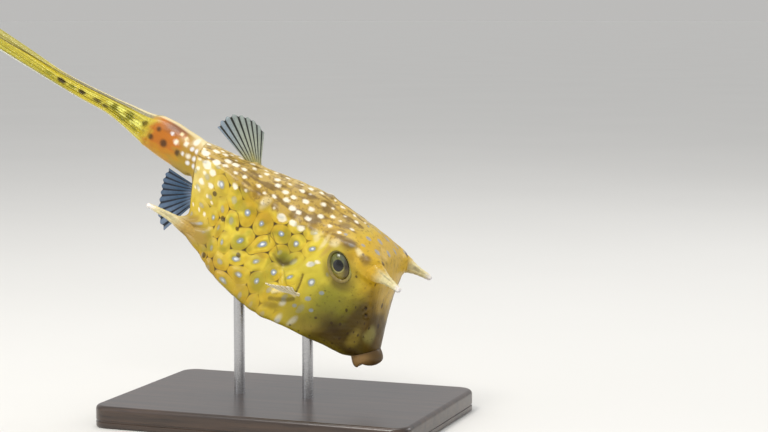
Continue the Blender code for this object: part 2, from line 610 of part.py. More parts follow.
def fish(parent):
    torso = plated_shell("torso", 0, NECK_STEP, parent, "torso")
    head = plated_shell("head", NECK_STEP, STEPS, parent, "head")
    stem = tail_stem(parent)
    caudal_fin(parent)
    for name, fin in (("dorsal_fin", DORSAL), ("anal_fin", ANAL)):
        vane(name, *fan(fin), parent, name)
    roots, sockets = [], []
    for side, word, fin in ((-1, "right", PECTORAL), (1, "left", mirrored(PECTORAL))):
        vane(f"pectoral_fin_{word}", *fan(fin), parent, "pectoral_fin")
        sockets.append(fin_socket(fin, 9.0, parent))
        cut = FRONT_HORN["cut"]
        horn_piece(f"horn_front_{word}", side, FRONT_HORN, cut + 0.013, 1.0, 12, parent, "horn")
        roots.append(horn_piece("root", side, FRONT_HORN, 0.0, cut, 14, parent))
        roots.append(eye_rim(side, parent))
        eyeball(f"eye_{word}", side, 0.0, parent, "eye")
        sockets.append(eyeball("socket", side, GAP, parent))
        gill = [np.array(end) * np.array([1, side, 1]) for end in GILL_SLIT]
        sockets.append(slot(*gill, GILL_RADIUS, parent))
        for x, z in NOSTRILS:
            inside, outside = (x - 2.0, side * 9.0, z), (x + 4.0, side * 16.0, z + 0.6)
            sockets.append(slot(inside, outside, NOSTRIL_RADIUS, parent))
    combine(head, roots, "UNION")
    roots = []
    for side, word in ((-1, "right"), (1, "left")):
        cut = REAR_HORN["cut"]
        horn_piece(f"horn_rear_{word}", side, REAR_HORN, cut + 0.011, 1.0, 12, parent, "horn")
        roots.append(horn_piece("root", side, REAR_HORN, 0.0, cut, 14, parent))
    combine(torso, roots, "UNION")
    combine(stem, [fin_socket(ANAL, 19.0, parent)], "DIFFERENCE")
    lip("lip_upper", parent, True)
    lip("lip_lower", parent, False)
    return torso, head, sockets


BASE_SIZE = (150.0, 100.0, 10.0)
BASE_CORNER, BASE_EDGE = 8.0, 2.0
ROD_RADIUS = 2.5
ROD_SEAT = 5.0
RODS = {"rear": (-24.0, 82.0), "front": (10.0, 58.0)}


def upright(name, x, low, high, radius, kind=None):
    """A round upright bar between two heights."""
    path = np.array([[x, 0.0, low], [x, 0.0, high]])
    turn = np.linspace(0, 2 * pi, 24, endpoint=False)
    ring = np.stack([np.cos(turn) * radius, np.sin(turn) * radius, 0 * turn], 1)
    return closed_rings(name, path[:, None] + ring[None], None, kind)


def stand():
    """A flat base with bevelled edges, with a blind hole for the foot of each rod."""
    body = bmesh.new()
    bmesh.ops.create_cube(body, size=1.0)
    bmesh.ops.scale(body, vec=Vector(BASE_SIZE) * MM, verts=body.verts)
    bmesh.ops.translate(body, vec=(0, 0, BASE_SIZE[2] / 2 * MM), verts=body.verts)
    uprights = [e for e in body.edges if abs(e.verts[0].co.z - e.verts[1].co.z) > MM]
    bmesh.ops.bevel(body, geom=uprights, offset=BASE_CORNER * MM, segments=5, affect="EDGES", profile=0.5)
    top = [e for e in body.edges if all(v.co.z > (BASE_SIZE[2] - 0.1) * MM for v in e.verts)]
    bmesh.ops.bevel(body, geom=top, offset=BASE_EDGE * MM, segments=3, affect="EDGES", profile=0.5)
    mesh = bpy.data.meshes.new("stand_base")
    body.to_mesh(mesh)
    body.free()
    base = bpy.data.objects.new("stand_base", mesh)
    bpy.context.scene.collection.objects.link(base)
    mesh.materials.append(material("stand_base", "stand"))
    holes = []
    for name, (x, top_z) in RODS.items():
        foot = BASE_SIZE[2] - ROD_SEAT
        upright(f"stand_rod_{name}", x, foot, top_z, ROD_RADIUS, "stand")
        holes.append(upright("hole", x, foot - GAP, BASE_SIZE[2] + 1, ROD_RADIUS + GAP))
    combine(base, holes, "DIFFERENCE")


def rod_hole(name):
    x, top_z = RODS[name]
    return upright("hole", x, BASE_SIZE[2] + 2, top_z + GAP, ROD_RADIUS + GAP)


def main():
    for obj in list(bpy.data.objects):
        bpy.data.objects.remove(obj)
    pose = bpy.data.objects.new("fish_pose", None)
    bpy.context.scene.collection.objects.link(pose)
    pose.location = Vector(TAIL_BASE_AT) * MM
    pose.rotation_euler = (0.0, NOSE_DOWN, 0.0)
    stand()
    torso, head, sockets = fish(pose)
    back_socket = fin_socket(DORSAL, 11.0, pose)
    combine(torso, [back_socket, rod_hole("rear")], "DIFFERENCE")
    combine(head, [*sockets, rod_hole("front")], "DIFFERENCE")


main()
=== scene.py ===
"""Looks of a longhorn cowfish on its display stand, laid out as a Blender add-on.

The fish is described in its own frame, in millimetres: x forward from the base of the tail fin, y
left and z up. fish_to_world tips it nose down over the base, as the solids have it. Every new piece
is a shell: rings of points, worked out as whole arrays and joined by quads, and drawn together at
both ends where it isn't already closed.
"""

from math import cos, pi, radians, sin

import bmesh
import bpy
import numpy as np
from bpy.props import FloatProperty, FloatVectorProperty, PointerProperty
from mathutils import Matrix, Vector


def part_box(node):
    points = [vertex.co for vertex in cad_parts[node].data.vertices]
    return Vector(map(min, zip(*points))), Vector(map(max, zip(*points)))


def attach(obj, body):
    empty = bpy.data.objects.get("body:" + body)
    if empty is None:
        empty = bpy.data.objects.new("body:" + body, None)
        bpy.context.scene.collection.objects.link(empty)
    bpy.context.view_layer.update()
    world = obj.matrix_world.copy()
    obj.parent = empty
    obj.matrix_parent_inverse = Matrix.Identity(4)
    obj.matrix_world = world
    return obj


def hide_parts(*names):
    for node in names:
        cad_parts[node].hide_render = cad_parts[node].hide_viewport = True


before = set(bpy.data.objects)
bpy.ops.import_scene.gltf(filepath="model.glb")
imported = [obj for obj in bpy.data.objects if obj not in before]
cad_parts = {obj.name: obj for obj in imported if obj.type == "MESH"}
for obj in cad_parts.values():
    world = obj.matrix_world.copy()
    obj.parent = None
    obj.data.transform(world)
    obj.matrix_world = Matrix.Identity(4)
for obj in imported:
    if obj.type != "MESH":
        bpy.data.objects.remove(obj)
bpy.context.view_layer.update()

bl_info = {
    "name": "Longhorn Cowfish Model",
    "version": (1, 0, 0),
    "blender": (4, 5, 0),
    "location": "3D View > Sidebar > Cowfish",
    "description": "Dresses the solids of a longhorn cowfish on its display stand",
    "category": "Add Mesh",
}

# A millimetre, and the distance at which two points are welded, in metres.
MM = 0.001
WELD = 1e-7
BODY = "root"

# How far the fish is tipped nose down, and where the base of its tail fin is in the room.
NOSE_DOWN = radians(36.0)
TAIL_BASE_AT = (-66.0, 0.0, 130.0)

# Stations of the bony carapace, from its hind rim to the snout. Each row holds the station's place
# along the body, then the mid-back (x, z), the upper ridge (x, y, z), the lower ridge (x, y, z),
# the mid-belly (x, z), and how round the section is, from 0 for the box to 1 for an ellipse.
CARAPACE = np.array([
    [26, 24.0, 12.2, 27.0, 8.6, 7.6, 44.0, 17.5, -18.2, 45.0, -19.6, 0.35],
    [34, 32.0, 14.2, 34.5, 11.4, 9.6, 48.0, 19.6, -20.4, 49.0, -22.4, 0.10],
    [42, 41.0, 16.6, 42.0, 13.2, 11.2, 53.0, 21.6, -22.2, 54.0, -24.8, 0.0],
    [56, 55.5, 20.8, 56.0, 14.6, 12.6, 62.0, 23.8, -25.0, 62.0, -27.8, 0.0],
    [72, 72.0, 26.0, 72.0, 15.2, 13.4, 75.0, 24.8, -27.4, 75.0, -30.4, 0.0],
    [86, 86.0, 29.6, 86.0, 15.4, 14.4, 88.0, 24.4, -27.9, 88.0, -31.0, 0.0],
    [96, 96.0, 30.4, 96.0, 16.2, 17.2, 96.0, 23.4, -27.3, 96.0, -30.4, 0.0],
    [106, 106.0, 30.6, 106.0, 18.0, 22.2, 104.0, 21.6, -26.0, 104.0, -29.2, 0.0],
    [118, 117.0, 29.4, 118.0, 19.4, 25.2, 113.0, 18.4, -24.6, 113.0, -27.8, 0.0],
    [127, 126.3, 26.2, 126.8, 18.8, 23.8, 119.5, 15.8, -23.8, 119.5, -26.8, 0.0],
    [134, 132.2, 19.6, 131.4, 16.4, 17.2, 124.5, 13.6, -23.0, 124.5, -25.8, 0.0],
    [143, 136.2, 9.0, 135.4, 13.0, 5.6, 129.5, 11.4, -22.5, 129.5, -25.2, 0.05],
    [153, 141.2, -1.6, 139.6, 10.0, -5.0, 133.5, 8.8, -22.2, 133.5, -24.5, 0.35],
    [162, 145.8, -12.0, 143.8, 6.2, -14.4, 138.9, 5.6, -20.4, 137.2, -22.5, 1.0],
])
RIM_AT, NECK_AT, SNOUT_AT = 26.0, 96.0, 162.0

# How far a flank bows in, in millimetres, and how many lines to each side of it a ridge is rounded.
FLANK_HOLLOW = 1.5
RIDGE_ROUNDING = 0.7

# Stations of the tail stem in the same columns. It widens into the hind rim of the carapace.
STEM = np.array([
    [0, 0.0, 8.9, 0.0, 4.2, 4.3, 0.0, 4.2, -4.3, 0.0, -8.6, 1.0],
    [8, 8.0, 10.7, 8.0, 4.6, 5.0, 8.0, 4.6, -4.2, 8.0, -8.3, 1.0],
    [15, 14.5, 11.3, 15.0, 5.4, 5.6, 15.5, 5.4, -3.8, 16.0, -7.5, 1.0],
    [20, 19.5, 11.8, 20.5, 6.4, 6.4, 23.0, 6.4, -3.8, 24.5, -6.8, 0.9],
])
STEM_FRONT = 20.0

# How much the stem's flare, the rounded rim and the lips take of the count along the body.
FLARE_SPAN = 5.0
RIM_SPAN = (25.2, 25.9)
LIP_SPAN = 8.0

# The rounded edge of the rim, from inside to outside: how far in, as a share of the rim's size, and
# how far ahead in millimetres.
RIM_EDGE = ((0.075, 0.5), (0.085, 0.9), (0.065, 0.95), (0.038, 0.4), (0.013, 0.05))

# Profile of the lips from the snout to the mouth: share of the way, how far closed, and the rise in
# millimetres.
LIP_PROFILE = np.array([
    [0, 0, 0], [0.05, 0, -0.6], [0.13, -0.02, 0.5], [0.28, -0.05, 3.1], [0.46, 0.05, 5.3],
    [0.66, 0.36, 6.5], [0.82, 0.66, 6.0], [0.93, 0.86, 4.2], [1.0, 1.0, 1.2],
])

# The slit of the mouth in millimetres: its drop below the snout's middle, half its height, how far
# its corners turn down, and half its width.
MOUTH_DROP, MOUTH_OPEN, MOUTH_CORNERS, MOUTH_HALF = 2.2, 0.22, 0.9, 5.0

# Stations of the folded tail fin: x, then the middle's z, the depth and the width.
TAIL = np.array([
    [-99.0, -14.9, 9.8, 1.1], [-89.0, -13.5, 9.2, 1.3], [-73.0, -11.6, 8.4, 1.6],
    [-55.0, -9.5, 7.4, 1.9], [-40.0, -6.9, 8.0, 2.4], [-26.0, -3.9, 8.8, 3.6],
    [-15.5, -2.3, 11.4, 5.6], [-6.0, -1.2, 14.6, 8.0], [0.0, 0.15, 17.5, 9.2],
])
TAIL_LENGTH = 99.0

# How far the skin of the stem reaches back inside the tail fin.
TUCK_LENGTH = 13.0

# Lines that run along the body, counted from the mid-back to the mid-belly of one side.
BACK_LINES, FLANK_LINES, BELLY_LINES = 9, 15, 9
LINES = 2 * (BACK_LINES + FLANK_LINES + BELLY_LINES)
COLUMNS_PER_LINE = 5

# Half a plate's length along the body, and the usual distance between lines, in millimetres.
PLATE_STEP = (SNOUT_AT - RIM_AT) / 30
LINE_PITCH = 2.72

# The eyes: middle (x, z), half axes and lean, how far they stand out of the skin and are sunk in
# it, where the skin is, and the pupil.
EYE_AT = (113.1, 12.7)
EYE_LONG, EYE_SHORT, EYE_TILT = 6.6, 4.7, radians(-35.0)
EYE_PROUD, EYE_SUNK = 2.0, 1.0
EYE_SEAT_Y = 18.2
EYE_LONG_WAY = np.array([cos(EYE_TILT), 0, sin(EYE_TILT)])
EYE_SHORT_WAY = np.array([-sin(EYE_TILT), 0, cos(EYE_TILT)])
PUPIL_RADIUS = 2.3
PUPIL_BLACK = (0.002, 0.002, 0.002, 1.0)

# Horns: root and tip, how far the middle is bowed up, and half widths and half heights in
# millimetres at shares of the way to the tip.
FRONT_HORN = {
    "root": (121.5, 15.8, 20.0), "tip": (142.4, 21.2, 22.4), "rise": 0.2,
    "shares": (0.0, 0.2, 0.4, 0.5, 0.62, 0.8, 0.95, 1.0),
    "wide": (3.2, 3.4, 3.1, 2.6, 2.0, 1.5, 1.25, 1.2),
    "tall": (4.2, 4.6, 3.9, 3.0, 2.2, 1.6, 1.3, 1.2),
}
REAR_HORN = {
    "root": (54.0, 19.4, -18.6), "tip": (22.5, 18.2, -23.2), "rise": 1.0,
    "shares": (0.0, 0.15, 0.32, 0.44, 0.64, 0.9, 1.0),
    "wide": (1.0, 2.0, 2.6, 2.4, 1.75, 1.25, 1.1),
    "tall": (1.0, 2.2, 2.8, 2.5, 1.75, 1.25, 1.1),
}

# The share of a horn that counts as its root, which the skin round it follows.
HORN_ROOT_SHARE = 0.6

# How far a fan's margin dips between its rays, as a share, and the thickness of its rays and skin.
FIN_DIP = 0.035
FIN_RAY, FIN_SKIN = 0.8, 0.22

# Fans of clear fin: where the rays meet, the plane they spread in, the angles and lengths of the
# spread, the root's distance and half width, the bend, and the thickness of the fleshy root.
DORSAL = {
    "apex": (53.9, 0.0, 15.0), "e1": (1, 0, 0), "e2": (0, 0, 1), "angles": (117.0, 168.0),
    "margin": (20.8, 24.6, 27.4, 29.6, 31.2, 31.0, 30.0), "rays": 9, "root": 2.0, "stalk": 1.3,
    "curl": 1.0, "wave": 0.5, "flesh": 2.8,
}
ANAL = {
    "apex": (37.5, 0.0, -7.0), "e1": (1, 0, 0), "e2": (0, 0, 1), "angles": (187.0, 255.0),
    "margin": (22.6, 23.6, 25.0, 27.4, 29.4), "rays": 10, "root": 2.4, "stalk": 1.0,
    "curl": -1.0, "wave": 0.5, "flesh": 2.6,
}
PECTORAL = {
    "apex": (105.2, -15.8, -10.2), "e1": (-0.86, 0.0, -0.51), "e2": (0.214, -0.934, 0.285),
    "angles": (44.0, 98.0), "margin": (17.0, 20.0, 21.0, 20.0, 17.0), "rays": 10, "root": 1.6,
    "stalk": 1.2, "curl": 3.4, "wave": 0.0, "flesh": 3.0,
}

# Settings that the painted resins have in common.
SATIN_RESIN = {"Roughness": 0.42, "Specular_IOR_Level": 0.3, "Coat_Weight": 0.1}


def linear(code):
    """Linear RGBA of an sRGB hex colour."""
    raw = np.array([int(code[i:i + 2], 16) for i in (1, 3, 5)]) / 255
    level = np.where(raw <= 0.04045, raw / 12.92, ((raw + 0.055) / 1.055) ** 2.4)
    return (*(float(v) for v in level), 1.0)


def swatch(name, description, code):
    """A colour property, set from an sRGB hex colour."""
    return FloatVectorProperty(
        name=name, description=description, default=linear(code), size=4, min=0, max=1,
        subtype="COLOR")


def length(name, description, default):
    """A length property, set from millimetres."""
    return FloatProperty(name=name, description=description, default=default * MM, unit="LENGTH")


class CowfishForm(bpy.types.PropertyGroup):
    """Sizes of the fish's surface relief."""

    plate_height: length("Plate height", "How far a plate's middle stands above its seams", 0.4)
    plate_crown: FloatProperty(
        name="Plate crown", description="How flat a plate's top is before it falls to its seams",
        default=1.7, min=1.0)
    horn_fillet: length("Horn fillet", "How far the skin rises round the root of a horn", 1.6)
    eye_rim: length("Eye rim", "Radius of the ring of skin round an eye", 0.6)


class CowfishColours(bpy.types.PropertyGroup):
    """Colours of the fish."""

    flank: swatch("Flank", "Plates of the sides", "#EAD444")
    golden: swatch("Golden", "Warmer patches and the foot of each plate", "#C49A14")
    back: swatch("Back", "Skin between the upper ridges", "#B39243")
    belly: swatch("Belly", "Plates of the underside", "#A08A2A")
    # Cheek is also painted as shade in the flank's hollow.
    cheek: swatch("Cheek", "Olive green of the cheek", "#7E7C18")
    forehead: swatch("Forehead", "Golden yellow between eye and horn", "#C8A024")
    # Shade is painted shade on the face's front, in the flank's hollow, in the groove before the
    # hind rim and along and under the pectoral fin; it is also the brown of seams, speckles and
    # small marks.
    shade: swatch("Shade", "Brown of the face and of hollows", "#3E2B02")
    brown: swatch("Brown", "Patches of the back and the brow", "#6F5420")
    cream: swatch("Cream", "Pale ridges, tubercles and fin roots", "#EBDBA6")
    spot_core: swatch("Spot core", "Pale middle of a spot", "#F0F3F5")
    # Spot ring is also the painted highlight at the top of the iris.
    spot_ring: swatch("Spot ring", "Blue-grey ring of a spot", "#8395AE")
    white: swatch("White spot", "Spots of the back", "#FBF3DC")
    # Dark mark is also the painted shade on the iris's front.
    dark: swatch("Dark mark", "Strokes between plates and dark spots", "#332005")
    stem: swatch("Tail stem", "Orange-brown of the tail stem", "#B86A0C")
    mauve: swatch("Mauve", "Upper side of the tail stem", "#744E38")
    lip: swatch("Lip", "Tan lips", "#8A6A3C")
    horn: swatch("Horn", "Middle of a horn", "#DCCF9C")
    horn_tip: swatch("Horn tip", "Tip of a horn", "#E8E2DE")
    iris: swatch("Iris", "Grey-green iris", "#4C4F20")
    # Gold is also the painted highlight on the snout's side.
    gold: swatch("Gold", "Ring round the pupil", "#AAA25C")
    tail_yellow: swatch("Tail yellow", "Main colour of the tail fin", "#CDBB36")
    tail_lime: swatch("Tail lime", "Light patches of the tail fin", "#EBE87C")
    tail_edge: swatch("Tail edge", "Grey-tan edge of the tail fin", "#87826E")
    ray: swatch("Fin ray", "Rays of the clear fins", "#A3AA98")
    membrane: swatch("Fin membrane", "Skin between the rays", "#1C1F18")
    sea_ray: swatch("Sea ray", "Rays of the anal fin", "#35526F")
    sea_skin: swatch("Sea skin", "Skin between the anal fin's rays", "#0F1A2A")


class CowfishStand(bpy.types.PropertyGroup):
    """Finish of the display stand."""

    wood: swatch("Wood", "Stained hardwood of the base", "#2B211B")
    grain: swatch("Grain", "Lighter grain of the wood", "#4A382C")
    steel: swatch("Steel", "Brushed rods", "#B9B9BB")
    edge: length("Edge", "Radius of the base's top edge", 2.0)
    corner: length("Corner", "Radius of the base's corners", 8.0)


class CowfishStage(bpy.types.PropertyGroup):
    """Floor, lights and camera."""

    floor: swatch("Floor", "Plain pale floor", "#E3E1DC")
    lens: FloatProperty(name="Lens", description="Focal length for a 36 mm sensor",
                        default=91.03, unit="CAMERA")
    distance: FloatProperty(name="Distance", description="From the fish to the camera",
                            default=0.9, unit="LENGTH")
    azimuth: FloatProperty(name="Azimuth", description="Camera's turn to the fish's front",
                           default=radians(20.0), subtype="ANGLE")
    elevation: FloatProperty(name="Elevation", description="Camera's height as an angle",
                             default=radians(6.0), subtype="ANGLE")


def ramp(value, low, high):
    """Rises from 0 at low to 1 at high, level at both ends. low may be the larger."""
    t = np.clip((value - low) / (high - low), 0, 1)
    return t * t * (3 - 2 * t)


def bell(value, middle, width):
    """A bump of height 1: e to the power of minus the squared distance in widths."""
    return np.exp(-((value - middle) / width) ** 2)


def ripple(seed, *axes):
    """Smooth seeded variation of about -1 to 1: a sum of eight sine waves in random directions."""
    draw = np.random.default_rng(seed)
    total = 0
    for _ in range(8):
        pull = draw.normal(size=len(axes))
        total = total + np.sin(sum(k * a for k, a in zip(pull, axes)) + draw.uniform(0, 2 * pi))
    return total / 3.4


def round_ripple(seed, along, turn, radius):
    """A ripple over a round section: at a place along it, and a turn round it at some radius."""
    return ripple(seed, along, radius * np.cos(turn), radius * np.sin(turn))


def circle(count):
    """Evenly spaced angles round a circle."""
    return np.linspace(0, 2 * pi, count, endpoint=False)


def smooth_curve(places, values, at):
    """Values between stations, by cubics that neither overshoot nor kink."""
    places, values = np.asarray(places, float), np.asarray(values, float)
    width = np.diff(places)
    slope = np.diff(values, axis=0) / width[:, None]
    lean = np.zeros_like(values)
    before, after = 2 * width[1:] + width[:-1], width[1:] + 2 * width[:-1]
    same = slope[:-1] * slope[1:] > 0
    safe = np.where(same, slope[:-1] * slope[1:], 1.0)
    total = before[:, None] * slope[1:] + after[:, None] * slope[:-1]
    total = np.where(same, total, 1.0)
    lean[1:-1] = np.where(same, (before + after)[:, None] * safe / total, 0.0)
    lean[0], lean[-1] = slope[0], slope[-1]
    k = np.clip(np.searchsorted(places, at, side="right") - 1, 0, len(places) - 2)
    t = ((at - places[k]) / width[k])[..., None]
    w = width[k][..., None]
    left = (1 + 2 * t) * (1 - t) ** 2 * values[k] + t * (1 - t) ** 2 * w * lean[k]
    right = t * t * (3 - 2 * t) * values[k + 1] + t * t * (t - 1) * w * lean[k + 1]
    return left + right


def fish_to_world(points):
    """Tips fish points nose down about the base of the tail fin, and lifts them to their place."""
    c, s = cos(NOSE_DOWN), sin(NOSE_DOWN)
    x, y, z = points[..., 0], points[..., 1], points[..., 2]
    return np.stack([c * x + s * z, y, c * z - s * x], -1) + np.array(TAIL_BASE_AT)


def as_it_is(points):
    """Leaves points that are already in the room's frame."""
    return points


def shell(name, rings, material, layers=None, uvs=None, place=fish_to_world, sharp=None):
    """A closed mesh from rings of points in millimetres.

    Quads join each ring to the next and its last column to its first, and points that meet are
    welded, so a ring drawn together to a point or a line closes an end.
    """
    rows, columns = rings.shape[:2]
    index = np.arange(rows * columns).reshape(rows, columns)
    beside = np.roll(index, -1, axis=1)
    quads = np.stack([index[:-1], beside[:-1], beside[1:], index[1:]], -1).reshape(-1, 4)
    mesh = bpy.data.meshes.new(name)
    mesh.from_pydata((place(rings).reshape(-1, 3) * MM).tolist(), [], quads.tolist())
    for key, values in (uvs or {}).items():
        corners = np.stack([values[:-1, :-1], values[:-1, 1:], values[1:, 1:], values[1:, :-1]], 2)
        mesh.uv_layers.new(name=key).data.foreach_set("uv", corners.astype(np.float32).reshape(-1))
    for key, values in (layers or {}).items():
        layer = mesh.attributes.new(key, "FLOAT_COLOR", "POINT")
        layer.data.foreach_set("color", values.astype(np.float32).reshape(-1))
    body = bmesh.new()
    body.from_mesh(mesh)
    bmesh.ops.remove_doubles(body, verts=body.verts, dist=WELD)
    bmesh.ops.recalc_face_normals(body, faces=body.faces)
    body.to_mesh(mesh)
    body.free()
    mesh.materials.append(material)
    mesh.shade_smooth()
    if sharp:
        mesh.set_sharp_from_angle(angle=sharp)
    made = bpy.data.objects.new(name, mesh)
    bpy.context.scene.collection.objects.link(made)
    return made


def hold(piece, slot, *nodes):
    """Rides a piece on the model's one body and hides the solids it stands for. Its slot is not
    used.
    """
    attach(piece, BODY)
    if nodes:
        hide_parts(*nodes)
    return piece


def drawn_in(rings):
    """The same rings with one more at each end, drawn together to the end ring's middle."""
    ends = [np.broadcast_to(ring.mean(0), ring.shape)[None] for ring in (rings[0], rings[-1])]
    return np.concatenate([ends[0], rings, ends[1]])


def repeat_ends(values):
    """Repeats the first and last rows of values that go with drawn-in rings."""
    return np.concatenate([values[:1], values, values[-1:]])


def layered(rings, colours, ground, coats):
    """Colours from a ground and coats over it, each the name of a colour and where it covers."""
    shape = rings.shape[:2]
    paint = np.broadcast_to(np.array(getattr(colours, ground)), (*shape, 4)).copy()
    for key, cover in coats:
        colour = PUPIL_BLACK if key == "pupil" else getattr(colours, key)
        cover = np.clip(np.broadcast_to(cover, shape), 0, 1)[..., None]
        paint += cover * (np.array(colour) - paint)
    return paint


def feed(node, inputs):
    """Sets or links a node's sockets: a value for each one in use, in order, or named by socket.

    A value is a number, a colour, the socket that feeds it, or a node, whose first output in use
    feeds it.
    """
    if not isinstance(inputs, dict):
        inputs = dict(zip([i for i, socket in enumerate(node.inputs) if socket.enabled], inputs))
    for key, value in inputs.items():
        if isinstance(value, bpy.types.Node):
            value = next(output for output in value.outputs if output.enabled)
        if isinstance(value, bpy.types.NodeSocket):
            node.id_data.links.new(value, node.inputs[key])
        else:
            node.inputs[key].default_value = value


def add(tree, kind, inputs=(), stops=(), **settings):
    """Adds a shader node with its settings, the stops of its colour ramp, and its links."""
    node = tree.nodes.new("ShaderNode" + kind)
    for key, value in settings.items():
        setattr(node, key, value)
    feed(node, inputs)
    for i, (place, colour) in enumerate(stops):
        stop = node.color_ramp.elements[i] if i < 2 else node.color_ramp.elements.new(place)
        stop.position, stop.color = place, colour
    return node


def finish(name, **settings):
    """A new material with a Principled shader, and its node tree."""
    made = bpy.data.materials.new(name)
    made.use_nodes = True
    shader = made.node_tree.nodes["Principled BSDF"]
    feed(shader, {key.replace("_", " "): value for key, value in settings.items()})
    return made, made.node_tree, shader


def painted(name, bumps, **settings):
    """Resin, satin unless set otherwise, with paint from an attribute, mottling and a low bump."""
    made, tree, shader = finish(name, **{**SATIN_RESIN, **settings})
    paint = add(tree, "Attribute", attribute_name="Paint")
    place = add(tree, "TexCoord").outputs["Object"]
    fine = add(tree, "TexNoise", {"Vector": place, "Scale": 900.0, "Detail": 3.0})
    level = add(tree, "MapRange", (fine, 0.3, 0.7, 0.86, 1.1))
    mottled = add(tree, "VectorMath", (paint, level), operation="SCALE")
    feed(shader, {"Base Color": mottled})
    if bumps:
        bump = add(tree, "Bump", {"Strength": bumps, "Distance": 0.0002, "Height": fine})
        feed(shader, {"Normal": bump})
    return made, shader, paint


# Section: the body

def around(line):
    """Angle of a line round the body, from 0 on the mid-back."""
    return 2 * pi * line / LINES


def one_side(line):
    """Lines counted from the mid-back down either side."""
    return np.minimum(line, LINES - line)


def surface(along, line, table=CARAPACE):
    """Points of the body at a place along it and on a line round it, line 0 on the mid-back.

    Four key lines run through the stations. Straight sides join them round the box, bowed in a
    little on the flank, and an ellipse takes their place where the section is round.
    """
    along, line = np.broadcast_arrays(np.asarray(along, float), np.asarray(line, float))
    row = smooth_curve(table[:, 0], table[:, 1:], along)
    zero = np.zeros_like(along)
    top = np.stack([row[..., 0], zero, row[..., 1]], -1)
    upper, lower = row[..., 2:5], row[..., 5:8]
    bottom = np.stack([row[..., 8], zero, row[..., 9]], -1)
    roundness = row[..., 10:11]
    line = np.mod(line, LINES)
    right = line <= LINES / 2
    count = np.where(right, line, LINES - line)[..., None]
    on_back = np.clip(count / BACK_LINES, 0, 1)
    on_flank = np.clip((count - BACK_LINES) / FLANK_LINES, 0, 1)
    on_belly = np.clip((count - BACK_LINES - FLANK_LINES) / BELLY_LINES, 0, 1)
    level = np.array([1.0, 1.0, 0.0])
    back = top + (upper - top) * (level * on_back + (1 - level) * on_back ** 1.8)
    side = lower - upper
    inward = np.stack([zero, side[..., 2], -side[..., 1]], -1)
    inward = inward / (np.linalg.norm(inward, axis=-1, keepdims=True) + 1e-9)
    bow = inward * np.sin(pi * on_flank) * FLANK_HOLLOW * (1 - roundness)
    flank = upper + side * on_flank + bow
    belly = bottom + (lower - bottom) * (level * (1 - on_belly) + (1 - level) * (1 - on_belly) ** 2)
    below = np.where(count <= BACK_LINES + FLANK_LINES, flank, belly)
    box = np.where(count <= BACK_LINES, back, below)
    turn = around(count)
    half_width = 1.1 * np.maximum(upper[..., 1:2], lower[..., 1:2])
    oval = (top + bottom) / 2 + (top - bottom) / 2 * np.cos(turn)
    oval = oval + half_width * np.sin(turn) * np.array([0.0, 1.0, 0.0])
    points = box * (1 - roundness) + oval * roundness
    return points * np.where(right, -1.0, 1.0)[..., None] ** np.array([0, 1, 0])


def tail_rings(x, line, swell):
    """Oval rings of the tail fin's base: x on each ring, swell times the fin's own section."""
    middle, deep, wide = smooth_curve(TAIL[:, 0], TAIL[:, 1:], x).T[..., None] * np.ones(line.shape)
    turn = around(line)
    across = -wide / 2 * np.sin(turn) * swell[:, None]
    up = middle + deep / 2 * np.cos(turn) * swell[:, None]
    return np.stack([x[:, None] + 0 * across, across, up], -1)


def lip_rings(ring, line, share):
    """The snout's end ring carried over two lips to the slit of the mouth, share 0 to 1.

    Each ring lies between the snout's ring and the slit, moved out by the lips' profile: a crease,
    a full crown, and a fall into the mouth. The upper lip is the deeper, and both thin to the
    corners.
    """
    top, bottom = CARAPACE[-1, 1:3], CARAPACE[-1, 9:11]
    middle = np.array([(top[0] + bottom[0]) / 2, 0.0, (top[1] + bottom[1]) / 2])
    up = np.array([top[0] - bottom[0], 0.0, top[1] - bottom[1]])
    up /= np.linalg.norm(up)
    out = np.array([-up[2], 0.0, up[0]])
    out *= np.sign(out[0])
    turn = around(line)
    upper = 0.5 + 0.5 * np.cos(turn)
    slit = -MOUTH_DROP + MOUTH_OPEN * np.cos(turn) - MOUTH_CORNERS * np.sin(turn) ** 2
    aside = (MOUTH_HALF * np.sin(turn))[:, None] * np.array([0, 1.0, 0])
    mouth = middle + slit[:, None] * up - aside
    close, profile = smooth_curve(LIP_PROFILE[:, 0], LIP_PROFILE[:, 1:], share).T[..., None]
    crown = (0.84 + 0.16 * upper) * (1 - 0.3 * np.abs(np.sin(turn)) ** 5)
    rings = ring + close[..., None] * (mouth - ring)
    return rings + (profile * crown)[..., None] * out


